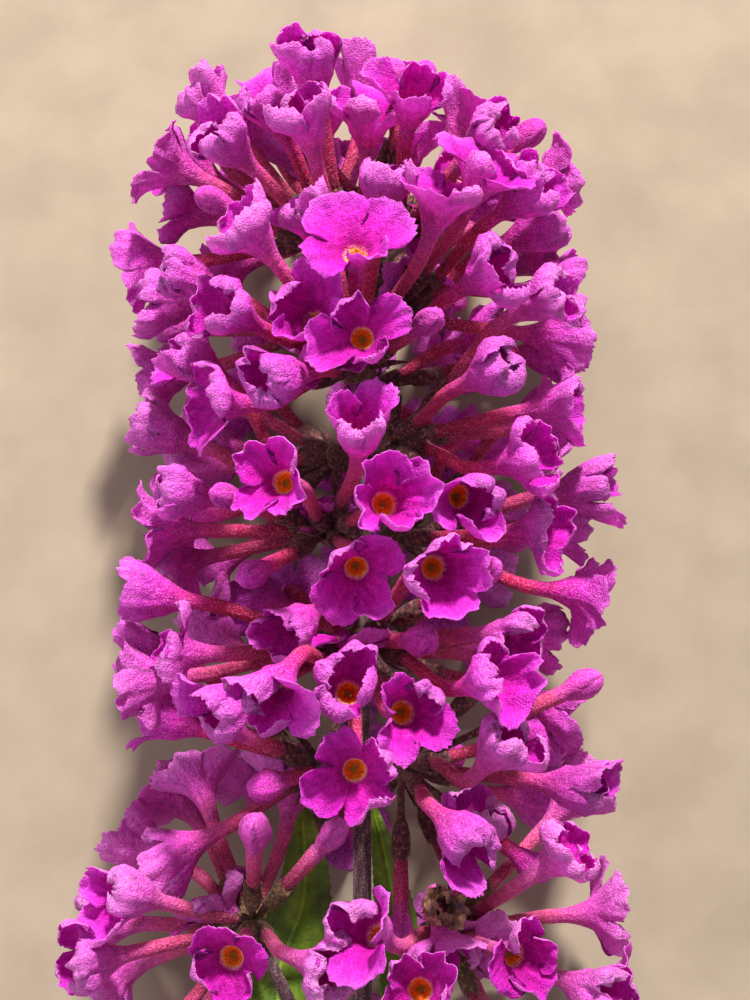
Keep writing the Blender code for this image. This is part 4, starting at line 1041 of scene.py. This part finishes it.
tube_tuft = HairTuft(TUBE_HAIRS)
withered = min(florets["side_head_right"], key=lambda f: (pixel_of(f.face) - Vector(WITHERED_SPOT)).length)
tufts, hair_points = [], []
for name in roots:
    draw = random.Random("petals " + name)
    on_side = name.startswith("side")
    stacks, points = [], []
    values = {"along": [], "upper": [], "grain": [], "tone": [], "blush": []}
    for floret in florets[name]:
        made = bud_points(floret, draw) if floret.bud else corolla_points(floret, draw)
        tone = draw.uniform(*TONES)
        least, most = LEAST_BLUSH[on_side], MOST_BLUSH[on_side]
        blush = least + (most - least) * draw.random() ** BLUSH_CURVE
        line = floret.tube_line
        radii = np.linspace(TUBE_BASE, TUBE_TOP, len(line))
        grown = hairs_on_line(tube_tuft, line, radii, TUBE_HAIR_LENGTH, draw.randrange(10**6))
        if floret is withered:
            dry_made = made
            continue
        tufts.append(tube_tuft)
        hair_points.append(grown)
        stacks.append(bud_stack if floret.bud else open_stack)
        points.append(made[0])
        for key, rows in zip(("along", "upper", "grain"), made[1:]):
            values[key].append(rows)
        # On a bud the tone also carries its painted seam shade.
        values["tone"].append(tone * (floret.seams if floret.bud else np.ones(len(made[0]))))
        values["blush"].append(np.full(len(made[0]), blush))
    made = shaped_mesh("florets_" + name, stacks, points, values)
    add_piece("florets_" + name, made, petal, "floret", name)
made = shaped_mesh("hairs_tubes", tufts, hair_points, {})
add_piece("hairs_tubes", made, hair_finish("tube felt", "#E89CC6"), "floret")

# The withered floret of the right side head: it stayed on its stalk and dried brown and papery, its
# lobes shrunk into a crumple.

DRY_SHARE, DRY_FROM, DRY_TO = 0.55, -3.0, 1.0
CRUMPLE_SIZES, CRUMPLE_PUSH, CRUMPLED_TO = (1.5, 3.2, 6.0), 0.35, 0.0


def withered_points(floret, points, draw):
    """Corners of an open floret drawn in and crumpled towards its mouth."""
    away = points - floret.face
    along = away @ floret.normal
    folded = 1 - (1 - DRY_SHARE) * smooth_step(along, DRY_FROM, DRY_TO)
    crumple = np.zeros_like(points)
    for size in CRUMPLE_SIZES:
        way = np.array([draw.gauss(0, size) for _ in range(3)])
        push = np.array([draw.gauss(0, CRUMPLE_PUSH) for _ in range(3)]) / size**0.5
        crumple += np.sin(points @ way + draw.uniform(0, 6))[:, None] * push
    crumple = crumple * smooth_step(along, DRY_FROM, CRUMPLED_TO)[:, None]
    crumpled = floret.face + away * folded[:, None] + crumple
    crumpled[:, 2] = np.maximum(crumpled[:, 2], LOWEST)
    return crumpled


def withered_finish():
    """A dried petal: thin brown paper, violet-grey where a little colour stayed, and quite matt."""
    finish, tree, shader, place = new_finish("withered petal", Roughness=0.85)
    patches = add_node(tree, "TexNoise", {"Vector": place, "Scale": 1 / (0.9 * MM), "Detail": 4.0})
    stops = ((0.3, "#453858"), (0.42, "#7A5A50"), (0.54, "#A88068"), (0.68, "#E0BC8C"))
    add_node(tree, "ValToRGB", {"Fac": patches}, stops, into=shader.inputs["Base Color"])
    fine = add_node(tree, "TexNoise", {"Vector": place, "Scale": 1 / (0.25 * MM)})
    relief = {"Height": fine, "Distance": 0.15 * MM, "Strength": 0.9}
    add_node(tree, "Bump", relief, into=shader.inputs["Normal"])
    return finish


dried = withered_points(withered, dry_made[0], random.Random("withered"))
made = shaped_mesh("withered_floret", [bud_stack if withered.bud else open_stack], [dried], {})
add_piece("withered_floret", made, withered_finish(), "floret")

# The anthers: four tiny sacs of pollen that grow on the wall of a floret's orange throat, dull brown
# and dusty. They are made for the florets that face up, the only ones whose throat is seen.

ANTHER_PROFILE = (0.05, 0.1, 0.05)
ANTHER_LENGTH = 0.24
ANTHER_PLACE, ANTHER_DEPTH = 0.42, 0.12

anther_stack = RingStack([6] * len(ANTHER_PROFILE))


def anther_points(floret, turn):
    """Corners of one anther, set against the wall of the throat."""
    other = np.cross(floret.normal, floret.side)
    out = floret.side * math.cos(turn) + other * math.sin(turn)
    middle = floret.face + out * ANTHER_PLACE - floret.normal * ANTHER_DEPTH
    line = middle + floret.normal * np.linspace(-0.5, 0.5, len(ANTHER_PROFILE))[:, None] * ANTHER_LENGTH
    return swept(anther_stack, line, np.array(ANTHER_PROFILE)[anther_stack.ring], out)


def anther_finish():
    """Pollen sacs: dull olive brown with dusty yellow grains."""
    finish, tree, shader, place = new_finish("pollen sac", Roughness=0.8)
    grains = add_node(tree, "TexNoise", {"Vector": place, "Scale": 1 / (0.06 * MM)})
    stops = ((0.4, "#5E3A10"), (0.65, "#B98A2C"))
    add_node(tree, "ValToRGB", {"Fac": grains}, stops, into=shader.inputs["Base Color"])
    return finish


opened = [floret for floret in facing if floret is not withered and floret.face[2] > LOWEST]
points = [anther_points(floret, math.pi / 4 + k * math.pi / 2) for floret in opened for k in range(4)]
made = shaped_mesh("anthers", [anther_stack] * len(points), points, {})
add_piece("anthers", made, anther_finish(), "floret")

# The leaves at the node below: thin blades that grow from the stem and fold along the midrib, green
# and half matt, with fine teeth, sunken side veins and a raised net between them.

LEAVES = {
    "leaf_left": (((-1.3, -27.6, 16.6), (-7.4, -17.0, 12.2), (-5.2, -8.0, 11.6), (-5.6, 0.6, 12.6)), 6.4),
    "leaf_right": (((1.3, -27.6, 16.6), (3.4, -17.0, 13.2), (2.6, -8.0, 12.4), (1.0, -0.4, 13.2)), 4.4),
    "leaf_small": (((1.2, -31.0, 18.4), (4.8, -26.6, 19.0), (8.8, -21.6, 20.0), (10.4, -17.6, 20.6)), 3.2),
}
LEAF_ROWS, LEAF_COLUMNS = 96, 24
LEAF_THICK, LEAF_LENGTH = 0.3, 27
LEAF_CURVE, LEAF_TAPER, NARROWEST = 0.75, 0.25, 0.34
LEAF_FOLD = 0.3
LEAF_TOOTH, TOOTH_ROWS, TOOTHED_PAST = 0.05, 1.5, 0.95
LEAF_WAVE, LEAF_WAVES, WAVE_TURN = 0.25, 12, 1.9
VEIN_STEP, VEIN_LEAN, RAISED = 1.3, 0.9, 0.1
MIDRIB_DEPTH, MIDRIB_WIDTH = 0.1, 0.18


def leaf_mesh(name):
    """A leaf's blade, with the place of each corner across and along it."""
    line, width = LEAVES[name]
    middle = smooth_run(line, LEAF_ROWS + 1)
    bm = bmesh.new()
    bmesh.ops.create_grid(bm, x_segments=LEAF_COLUMNS, y_segments=LEAF_ROWS, size=1.0)
    layer = bm.verts.layers.float_vector.new("blade")
    for vert in bm.verts:
        share = (vert.co.y + 1) / 2
        row = round(share * LEAF_ROWS)
        across = vert.co.x
        here = middle[row]
        way = (middle[min(row + 1, LEAF_ROWS)] - middle[max(row - 1, 0)]).normalized()
        side = way.cross(Vector((0, 0, 1))).normalized()
        top = side.cross(way)
        half = width / 2 * max(math.sin(math.pi * min(share * 0.9 + 0.07, 1.0)), 0.0) ** LEAF_CURVE
        half = max(half * (1 - LEAF_TAPER * share), NARROWEST)
        tooth = 1 + LEAF_TOOTH * (abs(across) > TOOTHED_PAST) * math.sin(row * math.pi / TOOTH_ROWS)
        lift = abs(across) * half * LEAF_FOLD
        lift += LEAF_WAVE * abs(across) * math.sin(share * LEAF_WAVES * WAVE_TURN + across)
        length = share * LEAF_LENGTH
        vein = (length - abs(across) * half * VEIN_LEAN) / VEIN_STEP
        lift += RAISED * min(abs(across) * 4, 1) * abs(math.sin(vein * math.pi)) ** 0.5
        lift -= MIDRIB_DEPTH * math.exp(-((across * half / MIDRIB_WIDTH) ** 2))
        vert.co = here + side * (across * half * tooth) + top * lift
        vert[layer] = Vector((across * half, length, abs(across)))
    bmesh.ops.solidify(bm, geom=list(bm.faces), thickness=LEAF_THICK)
    bmesh.ops.recalc_face_normals(bm, faces=bm.faces)
    mesh = finished_mesh(name, bm)
    mesh.transform(TO_ROW)
    mesh.shade_smooth()
    return mesh


def leaf_finish(name, dark, mid, pale):
    """A living leaf: waxy green flesh, patchy, with a paler midrib and a fine paler net of veins."""
    finish, tree, shader, place = new_finish(name, Roughness=0.5, Sheen_Weight=0.15, Sheen_Roughness=0.5)
    patches = add_node(tree, "TexNoise", {"Vector": place, "Scale": 1 / (2.2 * MM), "Detail": 4.0})
    flesh = add_node(tree, "ValToRGB", {"Fac": patches}, ((0.3, dark), (0.5, mid), (0.72, pale)))
    net = add_node(tree, "TexVoronoi", {"Vector": place, "Scale": 1 / (0.5 * MM)}, feature="DISTANCE_TO_EDGE")
    lines = add_node(tree, "MapRange", {"Value": net, "From Max": 0.08, "To Min": 1.25, "To Max": 1.0})
    blade = add_node(tree, "Attribute", out="Vector", attribute_name="blade")
    across = add_node(tree, "SeparateXYZ", {"Vector": blade}, out="X")
    rib = add_node(tree, "Math", {0: across}, operation="ABSOLUTE")
    ribbed = add_node(tree, "MapRange", {"Value": rib, "From Max": 0.22, "To Min": 1.9, "To Max": 1.0})
    bright = add_node(tree, "Math", {0: lines, 1: ribbed}, operation="MULTIPLY")
    add_node(tree, "HueSaturation", {"Value": bright, "Color": flesh}, into=shader.inputs["Base Color"])
    relief = {"Height": net, "Distance": 0.12 * MM, "Strength": 0.7}
    add_node(tree, "Bump", relief, into=shader.inputs["Normal"])
    return finish


green = leaf_finish("mature leaf", "#456012", "#65891C", "#8FAE34")
young = leaf_finish("young leaf", "#7F9436", "#A3B650", "#BCCB70")
for name in LEAVES:
    add_piece("blade_" + name, leaf_mesh(name), young if name == "leaf_small" else green, "leaf", name)

# The floor, the light and the camera: a plain pale surface, a small lamp high beyond the tip like
# sun, a broad weak one at the left, a pale sky, and a lens that looks down on the spike.

SENSOR = 36.0
FLOOR_SIZE = 1500.0
FLOOR_DROP = 0.05
SKY_COLOUR, SKY_STRENGTH = "#EDE3E3", 0.46


def floor_finish():
    """Plain matt card, warm and pale, with the faintest mottle."""
    finish, tree, shader, place = new_finish("pale card", Roughness=0.9)
    mottle = add_node(tree, "TexNoise", {"Vector": place, "Scale": 1 / (9 * MM), "Detail": 5.0})
    stops = ((0.3, "#988D7D"), (0.7, "#A79C8B"))
    add_node(tree, "ValToRGB", {"Fac": mottle}, stops, into=shader.inputs["Base Color"])
    return finish


def aim(holder, place, way):
    """Set a lamp or the camera at a place in millimetres, looking one way."""
    holder.location = TO_ROW @ place
    holder.rotation_mode = "QUATERNION"
    holder.rotation_quaternion = way.to_track_quat("-Z", "Y")


def add_lamp(name, place, size, power, colour):
    """A square soft lamp aimed at the spike, placed from the point looked at, in millimetres."""
    lamp = bpy.data.lights.new(name, "AREA")
    lamp.shape = "SQUARE"
    lamp.size = size * MM
    lamp.energy = power
    lamp.color = linear(colour)[:3]
    aim(linked(name, lamp), VIEW_TARGET + Vector(place), -Vector(place))


bm = bmesh.new()
bmesh.ops.create_grid(bm, x_segments=2, y_segments=2, size=FLOOR_SIZE / 2)
bmesh.ops.translate(bm, verts=bm.verts, vec=(0, 0, -FLOOR_DROP))
bmesh.ops.transform(bm, matrix=TO_ROW, verts=bm.verts)
floor_mesh = finished_mesh("floor", bm)
floor_mesh.materials.append(floor_finish())
floor = linked("floor", floor_mesh)

add_lamp("sun lamp", place=(90, 620, 520), size=80, power=14.2, colour="#FFF5EA")
add_lamp("fill lamp", place=(-420, -120, 300), size=400, power=0.8, colour="#FFF0F2")
world = bpy.data.worlds.new("studio")
bpy.context.scene.world = world
world.use_nodes = True
sky = world.node_tree.nodes["Background"]
sky.inputs["Color"].default_value = linear(SKY_COLOUR)
sky.inputs["Strength"].default_value = SKY_STRENGTH

lens = bpy.data.cameras.new("camera")
lens.sensor_fit = "VERTICAL"
lens.sensor_height = SENSOR
lens.lens = SENSOR * VIEW_DISTANCE / SEEN_HEIGHT
lens.clip_start = 1 * MM
camera = linked("camera", lens)
aim(camera, VIEW_TARGET + view_back * VIEW_DISTANCE, -view_back)
bpy.context.scene.camera = camera
bpy.context.scene.view_settings.view_transform = "Standard"
